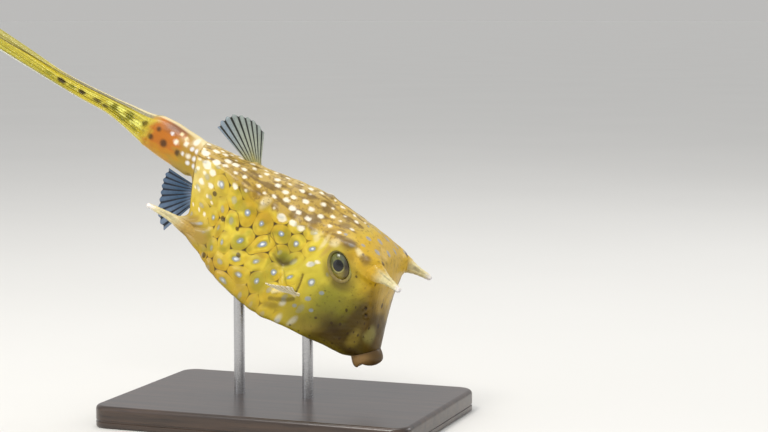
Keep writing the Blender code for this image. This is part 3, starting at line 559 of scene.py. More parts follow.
def body_rings():
    """Rings of the whole skin, with their places along the body and their lines round it.

    Behind the rim the stem widens in rings drawn in towards the mid-back, so its underside is
    hollow, and meets the rim in a groove that is shallow on top and full below. Skin near a rear
    horn is drawn out along it, by a bell of its distance from the horn's axis.
    """
    line = np.arange(LINES * COLUMNS_PER_LINE) / COLUMNS_PER_LINE
    tuck = np.linspace(-TUCK_LENGTH, 0.0, 15)[:-1]
    zones = [(tuck, tail_rings(tuck, line, 1.02 - 0.45 * ramp(tuck, -1.0, -TUCK_LENGTH)))]
    stem = np.linspace(0.0, STEM_FRONT, 24)
    zones.append((stem, surface(stem[:, None], line, STEM)))
    offsets = np.linspace(-RIDGE_ROUNDING, RIDGE_ROUNDING, 5)
    rim = np.mean([surface(RIM_AT, line + d) for d in offsets], axis=0)
    centre = rim.mean(0)
    ahead = np.array([rim[:, 2].max() - rim[:, 2].min(), 0.0, rim[:, 0].max() - rim[:, 0].min()])
    ahead /= np.linalg.norm(ahead)
    depth = (0.12 + 0.88 * ramp(one_side(line), 4.0, 16.0))[:, None]
    flare = np.linspace(0, 1, 20)[1:]
    end = centre + (rim - centre) * (1 - 0.06 * depth)
    ring = zones[-1][1][-1]
    widening = ring + flare[:, None, None] * (end - ring)
    tops = widening[:, :1]
    narrow = 1 - 0.3 * np.sin(pi * flare)[:, None, None]
    zones.append((STEM_FRONT + flare * FLARE_SPAN, tops + (widening - tops) * narrow))
    lip = [centre + (rim - centre) * (1 - inset * depth) + ahead * shift * depth
           for inset, shift in RIM_EDGE]
    zones.append((np.linspace(*RIM_SPAN, len(RIM_EDGE)), np.array(lip)))
    shield = np.concatenate([np.linspace(RIM_AT, NECK_AT, 98)[:-1],
                             np.linspace(NECK_AT, SNOUT_AT, 117)])
    soft = 1 + 2.5 * ramp(shield, 118, 140)[:, None]
    plated = np.mean([surface(shield[:, None], line + d * soft) for d in offsets], axis=0)
    zones.append((shield, plated))
    share = np.linspace(0, 1, 24)[1:]
    zones.append((SNOUT_AT + share * LIP_SPAN, lip_rings(plated[-1], line, share)))
    places, rings = (np.concatenate(parts) for parts in zip(*zones))
    path = horn_path(REAR_HORN, 60)[0]
    towards = (path[-1] - path[0]) / np.linalg.norm(path[-1] - path[0])
    drawn = HORN_SHEATH * bell(gap_to(rings, path), 0, HORN_SHEATH_REACH)[..., None]
    return rings + drawn * towards * np.array([1, 0, 1]), places, line


def outward(rings):
    """Unit vectors square to closed rings: the cross product of the steps along and round them."""
    along = np.gradient(rings, axis=0)
    round_it = np.roll(rings, -1, axis=1) - np.roll(rings, 1, axis=1)
    normal = np.cross(along, round_it)
    normal /= np.linalg.norm(normal, axis=-1, keepdims=True) + 1e-12
    away = rings - rings.mean(1, keepdims=True)
    return normal * np.sign((normal * away).sum())


def lattice(step, line):
    """Share of the way from a plate's middle to its seam, and the offsets from its middle.

    The six-sided plates lie on two interleaved grids, two steps by six lines, one moved by half of
    both. On each grid the share is the larger of |step| and half of |step| + |line|, and the
    smaller share wins.
    """
    best = None
    for move in (0, 1):
        ds = np.mod(step - move + 1, 2) - 1
        dl = np.mod(line - 3 * move + 3, 6) - 3
        share = np.maximum(np.abs(ds), (np.abs(ds) + np.abs(dl)) / 2)
        if best is None:
            best = share, ds, dl
        else:
            near = share < best[0]
            best = tuple(np.where(near, new, old) for new, old in zip((share, ds, dl), best))
    return best


def eye_share(points):
    """Distance from an eye's middle in the x-z plane, 1 on the edge of the eyeball."""
    x, z = points[..., 0] - EYE_AT[0], points[..., 2] - EYE_AT[1]
    c, s = cos(EYE_TILT), sin(EYE_TILT)
    return np.hypot((x * c + z * s) / EYE_LONG, (z * c - x * s) / EYE_SHORT)


def gap_to(points, path, radii=0.0):
    """Distance from points to a round bar along a path, on either side of the fish."""
    folded = points.copy()
    folded[..., 1] = np.abs(folded[..., 1])
    near = np.full(points.shape[:2], np.inf)
    for spot, radius in zip(path, np.broadcast_to(radii, len(path))):
        near = np.minimum(near, np.linalg.norm(folded - spot, axis=-1) - radius)
    return near


def gap_to_horn(points, horn):
    """Distance from points to the root part of a horn."""
    path, wide, tall, t = horn_path(horn, 25)
    root = t < HORN_ROOT_SHARE
    return gap_to(points, path[root], (wide + tall)[root] / 2)


def gap_from_side(points, x, z):
    """Distance from points to a place, as seen from the side."""
    return np.hypot(points[..., 0] - x, points[..., 2] - z)


def horn_path(horn, count):
    """Points from a horn's root to its tip, bowed a little, with its half width and half height."""
    t = np.linspace(0, 1, count)
    root, tip = np.array(horn["root"]), np.array(horn["tip"])
    bow = np.array([0, 0, horn["rise"]]) * np.sin(pi * t)[:, None]
    path = root + (tip - root) * t[:, None] + bow
    wide, tall = smooth_curve(horn["shares"], np.stack([horn["wide"], horn["tall"]], 1), t).T
    return path, wide, tall, t


# Plates whose middles are known: place along, line count, the plate's own step and line in the
# pattern, and how strongly its spot shows.
PLATE_MIDDLES = np.array([
    [43.8, 11.6, 4, 12, 0.6], [63.2, 12.6, 8, 12, 0.9], [71.2, 12.5, 10, 12, 0.9],
    [82.5, 11.9, 12, 12, 1.0], [90.0, 11.5, 14, 12, 0.8], [98.0, 11.6, 16, 12, 0.9],
    [68.8, 16.2, 9, 15, 1.0], [77.5, 14.9, 11, 15, 1.0], [47.5, 17.2, 4, 18, 0.5],
    [58.8, 18.7, 8, 18, 0.5], [69.2, 20.0, 10, 18, 0.8], [77.0, 18.3, 12, 18, 0.8],
    [89.0, 17.5, 14, 18, 1.0], [97.0, 16.6, 16, 18, 1.0], [107.2, 16.5, 18, 18, 0.8],
    [42.5, 19.9, 3, 21, 0.5], [50.2, 20.1, 5, 21, 0.5], [79.0, 21.0, 11, 21, 0.7],
    [84.0, 19.2, 13, 21, 0.8], [71.2, 22.6, 10, 24, 0.7],
])

# How far a known plate pulls its neighbours, in steps and lines, and how softly it is held.
BELL_REACH = np.array([2.2, 5.5])
PULL_SOFTNESS = 0.2

# The largest gap to a spot that counts, in millimetres.
FAR_FROM_SPOTS = 3.0

# White spots, small dark dots and grey dots that are known: place along, line count and radius in
# millimetres.
WHITE_SPOTS = (
    (78.0, 9.6, 1.8), (83.5, 9.3, 1.4), (88.0, 9.3, 1.3), (78.8, 7.5, 1.3), (81.2, 5.3, 1.2),
    (76.2, 3.5, 1.0), (85.5, 6.0, 1.1), (87.5, 7.6, 1.1), (91.2, 6.2, 1.1), (75.5, 5.7, 1.1),
    (74.2, 6.8, 1.2), (66.2, 5.0, 1.1), (71.0, 5.6, 1.1), (29.2, 6.4, 1.8), (33.0, 3.5, 1.3),
    (37.0, 10.5, 1.5), (43.0, 11.6, 1.2), (38.2, 13.0, 1.3), (32.8, 9.7, 1.8), (36.8, 7.9, 1.7),
    (40.5, 5.3, 1.4), (44.5, 5.3, 1.4), (32.0, 13.4, 1.3), (36.8, 22.7, 1.3), (101.8, 14.0, 1.3),
    (104.0, 13.4, 1.0), (51.0, 10.2, 1.2),
)
DARK_DOTS = (
    (42.2, 13.7, 1.1), (52.8, 16.1, 1.2), (62.5, 15.6, 0.9), (70.5, 18.6, 1.1), (53.8, 23.1, 1.1),
    (41.0, 23.2, 1.1), (127.2, 7.4, 0.8), (131.5, 16.9, 0.8), (134.8, 19.1, 0.8), (144.2, 4.3, 0.8),
    (152.2, 4.9, 0.8), (142.0, 20.8, 0.8),
)
GREY_DOTS = (
    (119.2, 2.2, 1.3), (125.2, 2.0, 1.2), (122.2, 5.8, 1.2), (115.0, 4.6, 1.2), (112.0, 18.9, 1.2),
    (108.8, 20.6, 0.9), (115.6, 17.3, 1.0), (117.4, 20.2, 0.9),
)

# Marks painted in one place on each side, most of them the skin's own, some painted shade and one a
# painted highlight: place along, line count, half length along in millimetres, half width in lines,
# colour and strength.
PATCHES = (
    (61.0, 8.5, 4.4, 1.2, "brown", 0.9), (60.6, 8.5, 3.0, 0.7, "dark", 0.45),
    (71.5, 8.8, 2.0, 0.8, "brown", 0.75), (81.2, 8.2, 2.6, 0.7, "brown", 0.85),
    (82.0, 3.8, 3.2, 0.8, "brown", 0.8), (91.5, 4.4, 3.4, 0.9, "brown", 0.85),
    (92.2, 8.1, 2.8, 1.0, "brown", 0.9), (54.0, 5.0, 3.4, 1.0, "brown", 0.8),
    (103.0, 5.5, 3.0, 1.0, "brown", 0.7), (100.4, 8.0, 2.2, 0.9, "brown", 0.75),
    (73.0, 3.0, 3.0, 0.8, "brown", 0.6), (47.0, 7.6, 3.0, 0.8, "brown", 0.6),
    (96.8, 9.6, 1.6, 0.7, "cream", 0.7), (100.6, 10.0, 1.0, 1.7, "cream", 0.7),
    (103.5, 11.0, 1.2, 1.6, "back", 0.7), (104.5, 9.7, 2.6, 0.9, "cream", 0.95),
    (111.0, 9.0, 4.8, 1.2, "brown", 0.95), (117.2, 9.4, 2.4, 0.6, "cream", 0.8),
    (121.2, 9.6, 2.8, 0.7, "brown", 0.8), (113.0, 15.5, 3.0, 0.9, "flank", 0.25),
    (66.8, 9.2, 2.2, 1.5, "cream", 0.95), (87.0, 0.0, 1.8, 1.2, "white", 0.95),
    (60.5, 10.6, 4.4, 1.1, "golden", 0.75), (69.5, 10.9, 4.6, 1.0, "golden", 0.6),
    # Painted shade: the olive and brown patches at 90 along fill the flank's hollow, and the brown
    # one at 98.8 is a painted shadow under the pectoral fin.
    (90.0, 14.5, 5.2, 1.5, "cheek", 0.9), (90.5, 15.0, 4.4, 0.9, "shade", 0.55),
    (88.0, 20.6, 6.0, 1.6, "cheek", 0.35), (98.8, 21.9, 4.0, 0.9, "shade", 0.55),
    (106.2, 23.4, 1.8, 0.9, "spot_core", 0.45), (113.2, 23.0, 1.8, 0.9, "spot_core", 0.35),
    (102.5, 20.9, 1.6, 0.7, "spot_core", 0.5), (133.2, 20.3, 3.2, 1.3, "dark", 0.5),
    # Painted highlight: the pale gold patch at 154.2 on the snout's side.
    (150.5, 17.1, 5.4, 3.6, "belly", 0.45), (154.2, 9.5, 4.2, 3.4, "gold", 0.55),
    (158.5, 4.2, 3.0, 3.2, "brown", 0.4), (43.5, 21.6, 4.0, 2.0, "shade", 0.45),
)

# Spots of the tail stem: x, z, radius and colour.
STEM_SPOTS = (
    (2.6, 3.8, 1.4, "dark"), (1.2, -1.6, 1.5, "dark"), (8.4, 0.0, 1.9, "dark"),
    (17.0, 1.2, 1.6, "dark"), (13.4, 4.6, 1.4, "white"), (18.1, 6.9, 1.3, "white"),
    (21.3, 10.2, 1.4, "white"), (22.6, 3.4, 1.4, "white"), (9.4, 6.2, 0.9, "spot_core"),
    (22.0, 7.0, 1.1, "spot_core"), (13.2, 8.8, 0.9, "cream"), (19.4, 2.6, 1.0, "spot_core"),
    (16.4, 8.6, 1.0, "cream"), (24.6, 7.6, 1.2, "spot_core"), (25.6, 4.2, 1.3, "spot_core"),
    (24.0, 0.8, 1.1, "spot_core"), (27.5, 1.6, 1.2, "spot_core"),
)

# Creases, thin marks and painted shadows, drawn as lines over points (place along, line count):
# width in millimetres, colour, strength, and depth in millimetres, negative for a fold that stands
# up.
STROKES = (
    # Painted shade: the dark crescent of the flank's hollow.
    (((83.8, 15.0), (87.2, 15.4), (90.5, 15.6), (93.0, 15.0), (94.4, 13.8)),
     1.0, "shade", 0.6, 0.7),
    (((76.2, 12.7), (79.4, 13.8)), 0.65, "shade", 0.7, 0.3),
    (((78.0, 12.4), (81.2, 13.3), (85.2, 14.3)), 0.65, "shade", 0.7, 0.4),
    (((102.0, 15.9), (103.5, 17.2), (105.0, 18.8)), 0.8, "dark", 0.75, 0.7),
    # Painted shadow along the edge of the pectoral fin.
    (((93.2, 16.4), (96.2, 17.4), (98.8, 18.2), (102.0, 18.4), (104.8, 18.7)),
     0.7, "shade", 0.5, 0.0),
    (((90.5, 16.6), (97.2, 19.2)), 0.4, "cream", 0.35, 0.0),
    (((92.0, 16.3), (98.2, 19.0)), 0.4, "cream", 0.35, 0.0),
    (((95.2, 20.0), (97.8, 19.4), (101.0, 18.9), (105.5, 19.2)), 1.0, "cream", 0.85, -0.7),
    # Painted shadow under the pectoral fin's fleshy root.
    (((96.0, 21.1), (103.0, 20.4), (106.0, 19.8)), 1.3, "shade", 0.6, 0.3),
)

# Nostrils of each side: x and z. Tubercles of the back: place along, line count, height and reach
# in millimetres.
NOSTRILS = ((132.6, 3.4), (134.2, 0.6))
TUBERCLES = np.array([[87.0, 0.0, 1.0, 1.9], [66.8, 9.2, 1.1, 2.2], [50.6, 0.0, 0.9, 2.0]])
GILL_DEPTH = 0.9

# How far the skin is drawn out along a rear horn, and how far from its axis, in millimetres.
HORN_SHEATH = 12.0
HORN_SHEATH_REACH = 3.4


def on_skin(points, count=30):
    """Points in space along a line drawn on the skin, on the left side."""
    points = np.array(points)
    share = np.linspace(0, len(points) - 1, count)
    along, line = (np.interp(share, np.arange(len(points)), points[:, k]) for k in (0, 1))
    return surface(along, LINES - line)


def plate_pattern(along, line):
    """Step and line in the pattern of plates, moved so that each known plate lies in its place.

    Every known plate has a bell round it, and the bells' heights are solved so that together they
    move its middle to its own step and line. A small seeded ripple is added.
    """
    count = one_side(line)
    step = (along - RIM_AT) / PLATE_STEP
    known = np.stack([(PLATE_MIDDLES[:, 0] - RIM_AT) / PLATE_STEP, PLATE_MIDDLES[:, 1]], -1)
    shares = np.exp(-(((known[:, None] - known) / BELL_REACH) ** 2).sum(-1))
    pulls = PLATE_MIDDLES[:, 2:4] - known
    heights = np.linalg.solve(shares + PULL_SOFTNESS * np.eye(len(known)), pulls)
    inside = ramp(count, 0, 6) * ramp(count, LINES / 2, LINES / 2 - 6)
    inside = inside * ramp(step, 0, 2)
    moves = sum(inside[..., None] * height * np.exp(
        -((step - s) / BELL_REACH[0]) ** 2 - ((count - c) / BELL_REACH[1]) ** 2)[..., None]
        for (s, c), height in zip(known, heights))
    turn = around(line)
    waves = [ramp(step, 0, 2) * round_ripple(seed, along / 8, turn, 4.2)
             for seed in (3, 4)]
    count = count + moves[..., 1] + 0.2 * waves[1] * inside
    return step + moves[..., 0] + 0.1 * waves[0], np.where(line <= LINES / 2, count, LINES - count)


def body_relief(rings, along, line, form):
    """Height of the skin over the plain body: plates, rims, fillets, tubercles, creases, pits."""
    count = one_side(line)
    step, turned = plate_pattern(along, line)
    share, ds, dl = lattice(step, turned)
    on_shield = ramp(along, RIM_AT - 0.3, RIM_AT + 3.0)
    on_back = ramp(count, 10.5, 8.0)
    plates = on_shield * ramp(along - 8 * on_back, 116.0, 95.0) * (1 - 0.45 * on_back)
    eye = eye_share(rings)
    plates = plates * ramp(eye, 1.1, 1.9)
    random = 1 + 0.25 * ripple(5, np.round(step - ds) * 1.7, np.round(turned - dl) * 0.9)
    dome = 0.5 + 0.5 * np.cos(pi * share ** form.plate_crown)
    height = form.plate_height / MM * plates * random * dome
    height = height + 0.5 * ramp(eye, 2.0, 1.25) - 3.4 * ramp(eye, 1.1, 0.86)
    gap = gap_to_horn(rings, FRONT_HORN)
    height = height + form.horn_fillet / MM * np.clip(1 - gap / 4.0, 0, 1) ** 2
    places = surface(TUBERCLES[:, 0], LINES - TUBERCLES[:, 1])
    for spot, tall, reach in zip(places, *TUBERCLES[:, 2:].T):
        height = height + tall * bell(gap_to(rings, [spot]), 0, reach)
    height = height - GILL_DEPTH * bell(along, 90.0, 6.5) * bell(count, 14.2, 1.9)
    for points, width, _, _, depth in STROKES:
        gap = gap_to(rings, on_skin(points))
        height = height - depth * bell(gap, 0, width)
    for x, z in NOSTRILS:
        pit = gap_from_side(rings, x, z)
        height = height + on_shield * (0.35 * bell(pit, 1.1, 0.5) - 0.6 * bell(pit, 0, 0.6))
    height = height + 0.05 * ripple(6, *(rings[..., k] / 1.1 for k in range(3)))
    height = height + 0.18 * on_shield * ripple(7, *(rings[..., k] / 6.0 for k in range(3)))
    return height, step, turned


def scattered(seed, known, low, high, counts, spacing, radius):
    """Known spots on both sides, and seeded ones that keep clear of them: place, line and radius.

    The seeded ones stand on staggered rows, each moved a little from its place in its row.
    """
    draw = np.random.default_rng(seed)
    spots = [(place, line, size) for place, count, size in known for line in (count, LINES - count)]
    for row, count in enumerate(counts):
        for place in np.arange(low + spacing / 2 * (row % 2), high, spacing):
            for line in (count, LINES - count):
                along = place + draw.uniform(-0.26, 0.26) * spacing
                turned = line + draw.uniform(-0.55, 0.55)
                clear = min(np.hypot(along - p, (turned - s) * 2) for p, s, _ in spots)
                if clear > 0.6 * spacing:
                    spots.append((along, turned, radius * draw.uniform(0.55, 1.25)))
    return spots


def gap_to_spots(rings, along, line, spots):
    """Distance from each point to the edge of the nearest spot, each drawn out along the body."""
    beside = np.roll(rings, -1, 1) - np.roll(rings, 1, 1)
    pitch = np.linalg.norm(beside, axis=-1) / 2 * COLUMNS_PER_LINE
    near = np.full(rings.shape[:2], FAR_FROM_SPOTS)
    for place, spot, radius in spots:
        across = (np.mod(line - spot + LINES / 2, LINES) - LINES / 2) * pitch
        near = np.minimum(near, np.hypot((along - place) * 0.78, across) - radius)
    return near


def body_paint(rings, along, line, colours):
    """Ground colours of the skin, how strongly each kind of mark shows, and the gaps to spots.

    Coats go from light to dark along the body (place, along), down its side (count, side_line) and
    round marks that are known. The four channels of the marks are ringed spots, the back's
    streaks, seams and the face's speckles. Those of the gaps are white spots, dark dots and grey
    dots.
    """
    side_line = one_side(line)
    turn = around(line)
    wander = 0.7 * round_ripple(11, along / 6, turn, 5)
    count, place = side_line + wander, along + 3 * wander
    fine = round_ripple(12, along / 1.6, turn, 11.5)
    eye = eye_share(rings)
    shield = ramp(along, 25.9, 26.4)
    stem = 1 - shield
    face = ramp(place, 104, 120)
    low = ramp(count, 22.5, 25.5)
    high = ramp(count + 0.3 * fine, 9.8, 8.6)
    # Painted shade over the face's front, which faces down: it grows towards the snout and lower
    # down the side.
    painted_face_shade = ramp(place + 1.1 * (count - 11) - 1.5 * fine, 129, 144)
    coats = [
        ("cheek", 0.28 * ramp(place, 62, 44)),
        ("cream", 0.5 * ramp(place, 52, 28) * ramp(count, 20, 12)),
        ("golden", 0.85 * bell(count, 11.0, 1.5) * bell(place, 68, 18)),
        ("golden", 0.3 * ramp(count, 17, 22) * ramp(place, 44, 70)),
        ("golden", 0.25 * ramp(fine, 0.2, 1.0)),
        ("golden", 0.3 * ramp(place, 62, 44) + 0.25 * ramp(count, 16, 21)),
        ("brown", 0.3 * ramp(count, 18, 23) * ramp(place, 104, 84)),
        ("cheek", 0.4 * ramp(place, 94, 107) * ramp(count, 11, 15)),
        ("back", 0.92 * high * ramp(place, 120, 104)),
        ("back", 0.4 * shield * ramp(along, 36, 26) * ramp(side_line, 14, 6)),
        ("cream", 0.35 * bell(count, 0, 2.6) * ramp(place, 116, 100)),
        ("belly", 0.85 * low),
        ("cheek", 0.9 * face * bell(count, 18.6, 5.6) * ramp(count, 10.6, 14)),
        ("forehead", 0.95 * ramp(place, 106, 117) * ramp(count, 13.6, 10.6)),
        ("golden", 0.5 * ramp(place, 118, 130) * bell(count, 12.0, 2.4)),
        ("shade", 0.6 * ramp(place, 110, 128) * bell(count, 20.4, 1.8)),
        ("brown", 0.45 * ramp(eye, 2.2, 1.2)),
        ("shade", 0.55 * ramp(eye, 2.0, 1.3) * ramp(rings[..., 2], 13, 4)),
        ("belly", 0.75 * ramp(place, 108, 122) * bell(count, 22.6, 1.3) * ramp(place, 152, 138)),
        # Painted shade over the face's front, less on the belly.
        ("shade", 0.93 * painted_face_shade * (1 - 0.4 * low)),
    ]
    horn_gap = gap_to_horn(rings, REAR_HORN)
    coats.append(("back", 0.75 * ramp(horn_gap + 0.8 * fine, 5.5, 0.5) * shield))
    coats.append(("brown", 0.3 * ramp(horn_gap + 1.2 * fine, 4.5, 1.5) * shield))
    coats.append(("horn", ramp(horn_gap, 3.0, 0.8) * ramp(rings[..., 0], 44.5, 35.0)))
    bare = ramp(horn_gap, 0.5, 4.5)
    for spot, across, long, wide, key, strength in PATCHES:
        ahead, aside = along + 1.2 * wander - spot, side_line + 0.3 * fine - across
        gap = np.hypot(ahead / long, aside / wide)
        cover = strength * shield * ramp(gap, 1.3, 0.4)
        coats.append((key, cover))
        bare = bare * (1 - cover)
    for points, width, key, strength, _ in STROKES:
        gap = gap_to(rings, on_skin(points)) + 0.15 * fine
        cover = strength * shield * ramp(gap, width, 0.35 * width)
        coats.append((key, cover))
        bare = bare * (1 - cover)
    for x, z in NOSTRILS:
        pit = gap_from_side(rings, x, z)
        coats.append(("dark", 0.9 * shield * ramp(pit, 1.0, 0.5)))
    upright = np.cos(turn)
    ragged = along + 0.6 * fine + 2.0 * round_ripple(13, along / 5, turn, 3)
    base = ramp(ragged, 0.5, -4.5)
    rise = rings[..., 2] - (0.28 * rings[..., 0] + 1.0)
    coats += [
        ("stem", stem),
        ("golden", 0.6 * stem * ramp(rise + 0.8 * fine, -4.0, -9.0)),
        ("mauve", 0.8 * stem * ramp(rise + 0.6 * fine, 1.5, 5.5) * ramp(along, 1, 8)),
        ("back", 0.85 * stem * ramp(along + 2 * fine, 12, 19) * ramp(rise, -5, 2)),
        ("belly", 0.75 * stem * ramp(along + 2 * fine, 12, 19) * ramp(rise, 3, -4)),
        ("cream", 0.45 * stem * ramp(along + fine, 17, 24) * ramp(side_line, 13, 5)),
        ("cream", 0.75 * stem * ramp(upright, 0.88, 0.98)),
        ("cream", 0.6 * stem * ramp(upright, -0.85, -0.97)),
        ("tail_yellow", stem * base),
        ("tail_edge", stem * base * ramp(upright, 0.7, 0.95)),
        # Painted shade in the groove where the stem meets the rim, stronger on the lower side.
        ("shade", 0.85 * ramp(along, 23.0, 24.8) * stem * ramp(side_line, 7.0, 14.0)),
    ]
    for spot, height, radius, key in STEM_SPOTS:
        away = gap_from_side(rings, spot, height) / radius + 0.15 * wander
        coats.append((key, 0.85 * stem * ramp(away, 1.3, 0.45)))
    share = (along - SNOUT_AT) / LIP_SPAN
    coats += [
        ("lip", ramp(share, 0.02, 0.1)),
        ("dark", 0.85 * bell(share, 0.06, 0.09) * (along > SNOUT_AT - 2)
         * ramp(upright, -0.9, 0.1)),
        ("shade", 0.75 * ramp(share, 0.05, 0.2) * ramp(upright, 0.0, 0.8)),
        ("dark", 0.9 * ramp(share, 0.88, 0.98)),
    ]
    paint = layered(rings, colours, "flank", coats)
    clear = ramp(eye, 1.2, 1.6) * shield * ramp(along, 162, 158)
    known = np.max([strength * bell(np.hypot(along - a, (side_line - c) * LINE_PITCH), 0, 4.2)
                    for a, c, _, _, strength in PLATE_MIDDLES], axis=0)
    hollow = np.maximum(bell(along, 90, 5) * bell(side_line, 14.6, 1.7), ramp(horn_gap, 4.0, 0.5))
    spots = (1 - hollow) * clear * (1 - face * ramp(count, 9, 11)) * (1 - 0.75 * low)
    spots = spots * ramp(place, 122, 112) * (1 - high)
    seams = bare * clear * (1 - 0.95 * ramp(place, 86, 108)) * (1 - 0.75 * high)
    seams = seams * ramp(along, 34, 48)
    back = clear * high * ramp(place, 118, 104)
    marks = (spots * (0.35 + 0.65 * known), back, seams, clear * face)
    rows = (1.2, 3.3, 5.4, 7.5, 9.3)
    white = scattered(61, WHITE_SPOTS, 28.0, 108.0, rows, 5.6, 0.85)
    white += scattered(62, WHITE_SPOTS, 28.0, 42.0, (11.0, 13.0, 15.5, 18.5), 4.6, 0.8)
    rows = (9.5, 12.5, 14.5, 16.5, 18.5, 20.5, 23.5, 27.0)
    dark = scattered(63, DARK_DOTS, 112.0, 156.0, rows, 7.5, 0.6)
    grey = scattered(64, GREY_DOTS, 108.0, 130.0, (1.0, 4.0, 7.0), 8.0, 1.0)
    gaps = [gap_to_spots(rings, along, line, kind) + FAR_FROM_SPOTS * (1 - clear)
            for kind in (white, dark, grey)]
    return paint, *(np.stack(np.broadcast_arrays(*fields), -1) for fields in (marks, (*gaps, 1.0)))


def body_material(colours):
    """Cast resin plates, airbrushed and varnished: seams, strokes, ringed spots and single dots.

    The paint, the marks and the gaps to single spots come from attributes. The six-sided lattice
    is worked out from the Plates map, two steps by six lines to a plate, so each plate has its own
    spot.
    """
    satin = {**SATIN_RESIN, "Coat_Weight": 0.12, "Coat_Roughness": 0.2}
    made, tree, shader = finish("Airbrushed resin plates", **satin)
    paint = add(tree, "Attribute", attribute_name="Paint")
    marks = add(tree, "Attribute", attribute_name="Marks")
    spots, back, seams = add(tree, "SeparateColor", [marks]).outputs
    face = marks.outputs["Alpha"]
    gaps = add(tree, "Attribute", attribute_name="Spots")
    white, dark, grey = add(tree, "SeparateColor", [gaps]).outputs
    plates = add(tree, "UVMap", uv_map="Plates")
    place = add(tree, "TexCoord").outputs["Object"]
    shares, offsets = [], []
    for move in ((0, 0, 0), (1, 3, 0)):
        moved = add(tree, "VectorMath", (plates, move), operation="SUBTRACT")
        offset = add(tree, "VectorMath", (moved, (1, 3, 1), (-1, -3, -1)), operation="WRAP")
        size = add(tree, "VectorMath", [offset], operation="ABSOLUTE")
        ahead, aside, _ = add(tree, "SeparateXYZ", [size]).outputs
        both = add(tree, "Math", (ahead, aside), operation="ADD")
        half = add(tree, "Math", (both, 0.5), operation="MULTIPLY")
        shares.append(add(tree, "Math", (ahead, half), operation="MAXIMUM"))
        offsets.append(offset)
    nearer = add(tree, "Math", (shares[1], shares[0]), operation="LESS_THAN")
    share = add(tree, "Math", shares, operation="MINIMUM")
    offset = add(tree, "Mix", (nearer, *offsets), data_type="VECTOR")
    middle = add(tree, "VectorMath", (plates, offset), operation="SUBTRACT")
    inside = add(tree, "VectorMath", (middle, (0.25, 0.25, 0)), operation="ADD")
    cell = add(tree, "VectorMath", (inside, (0.5, 0.5, 0.5)), operation="SNAP")
    random, hue = add(tree, "TexWhiteNoise", [cell], noise_dimensions="2D").outputs
    real = add(tree, "VectorMath", (offset, (PLATE_STEP, LINE_PITCH, 0)), operation="MULTIPLY")
    radius = add(tree, "VectorMath", [real], operation="LENGTH")
    # A spot lies up to half a millimetre off the middle of its plate.
    either = add(tree, "VectorMath", (hue, (0.5, 0.5, 0.5)), operation="SUBTRACT")
    shifted = add(tree, "VectorMath", (either, (1.0, 1.0, 0), real), operation="MULTIPLY_ADD")
    away = add(tree, "VectorMath", [shifted], operation="LENGTH")
    # Skin mottling about 1.6 mm across, and clouds of colour about 7 and 11 mm across.
    fine, broad, wide = (
        add(tree, "TexNoise", {"Vector": place, "Scale": scale, "Detail": detail})
        for scale, detail in ((620.0, 3.0), (140.0, 2.0), (90.0, 2.0)))
    streaks = add(tree, "Mapping", {"Vector": plates, "Scale": (0.4, 0.75, 1.0)})
    streak = add(tree, "TexNoise", {"Vector": streaks, "Scale": 1.0, "Detail": 1.0})
    ragged = add(tree, "Math", (fine, 0.22, share), operation="MULTIPLY_ADD")
    ragged_white = add(tree, "Math", (fine, 1.2, white), operation="MULTIPLY_ADD")
    strokes = add(tree, "MapRange", (broad, 0.46, 0.53, 0.0, 0.95), interpolation_type="SMOOTHSTEP")
    lines = add(tree, "MapRange", (broad, 0.44, 0.62, 0.0, 0.3), interpolation_type="SMOOTHSTEP")
    # Ringed spots of the flank, about 4 mm across: the stronger have a pale core in a grey ring.
    rough = add(tree, "Math", (fine, 0.9, away), operation="MULTIPLY_ADD")
    grown = add(tree, "Math", (random, 0.7, rough), operation="MULTIPLY_ADD")
    bright = add(tree, "MapRange", (spots, 0.35, 0.8, 0.15, 1.0), interpolation_type="SMOOTHSTEP")
    ground = paint
    # Each coat: what it follows, from where to where, its cover there, its colour, and what holds
    # it back.
    coats = (
        (broad, (0.46, 0.62, 0.0, 0.6), "golden", seams),
        (wide, (0.5, 0.62, 0.0, 0.55), "cheek", seams),
        (random, (0.0, 1.0, 0.0, 0.14), "shade", seams),
        (wide, (0.48, 0.34, 0.0, 0.35), "brown", seams),
        (share, (0.55, 1.05, 0.0, 0.2), "golden", seams),
        (ragged, (1.03, 1.14, 0.0, 1.0), "shade", seams, lines),
        (radius, (4.4, 5.1, 0.0, 1.0), "dark", seams, strokes),
        (wide, (0.45, 0.62, 0.0, 0.4), "golden", back),
        (streak, (0.5, 0.64, 0.0, 0.8), "brown", back),
        (fine, (0.5, 0.68, 0.0, 0.6), "brown", back),
        (fine, (0.56, 0.72, 0.0, 0.25), "golden", seams),
        (fine, (0.55, 0.72, 0.0, 0.35), "shade", face),
        (broad, (0.48, 0.7, 0.0, 0.2), "shade", face),
        (ragged_white, (1.1, 0.0, 0.0, 0.88), "white"),
        (grown, (3.4, 2.3, 0.0, 0.45), "cheek", spots),
        (grown, (2.6, 1.7, 0.0, 0.95), "spot_ring", spots),
        (grown, (1.75, 1.05, 0.0, 0.95), "spot_core", spots, bright),
        (grey, (0.35, -0.35, 0.0, 0.6), "spot_ring"),
        (dark, (0.25, -0.3, 0.0, 0.8), "dark"),
    )
    for source, reach, key, *masks in coats:
        cover = add(tree, "MapRange", (source, *reach), interpolation_type="SMOOTHSTEP")
        for mask in masks:
            cover = add(tree, "Math", (cover, mask), operation="MULTIPLY")
        ground = add(tree, "Mix", (cover, ground, getattr(colours, key)), data_type="RGBA")
    feed(shader, {"Base Color": ground})
    seam = add(tree, "MapRange", (ragged, 1.03, 1.14, 0.0, -0.8), interpolation_type="SMOOTHSTEP")
    groove = add(tree, "Math", (seam, seams, fine), operation="MULTIPLY_ADD")
    bump = add(tree, "Bump", {"Strength": 0.4, "Distance": 0.00025, "Height": groove})
    feed(shader, {"Normal": bump})
    return made


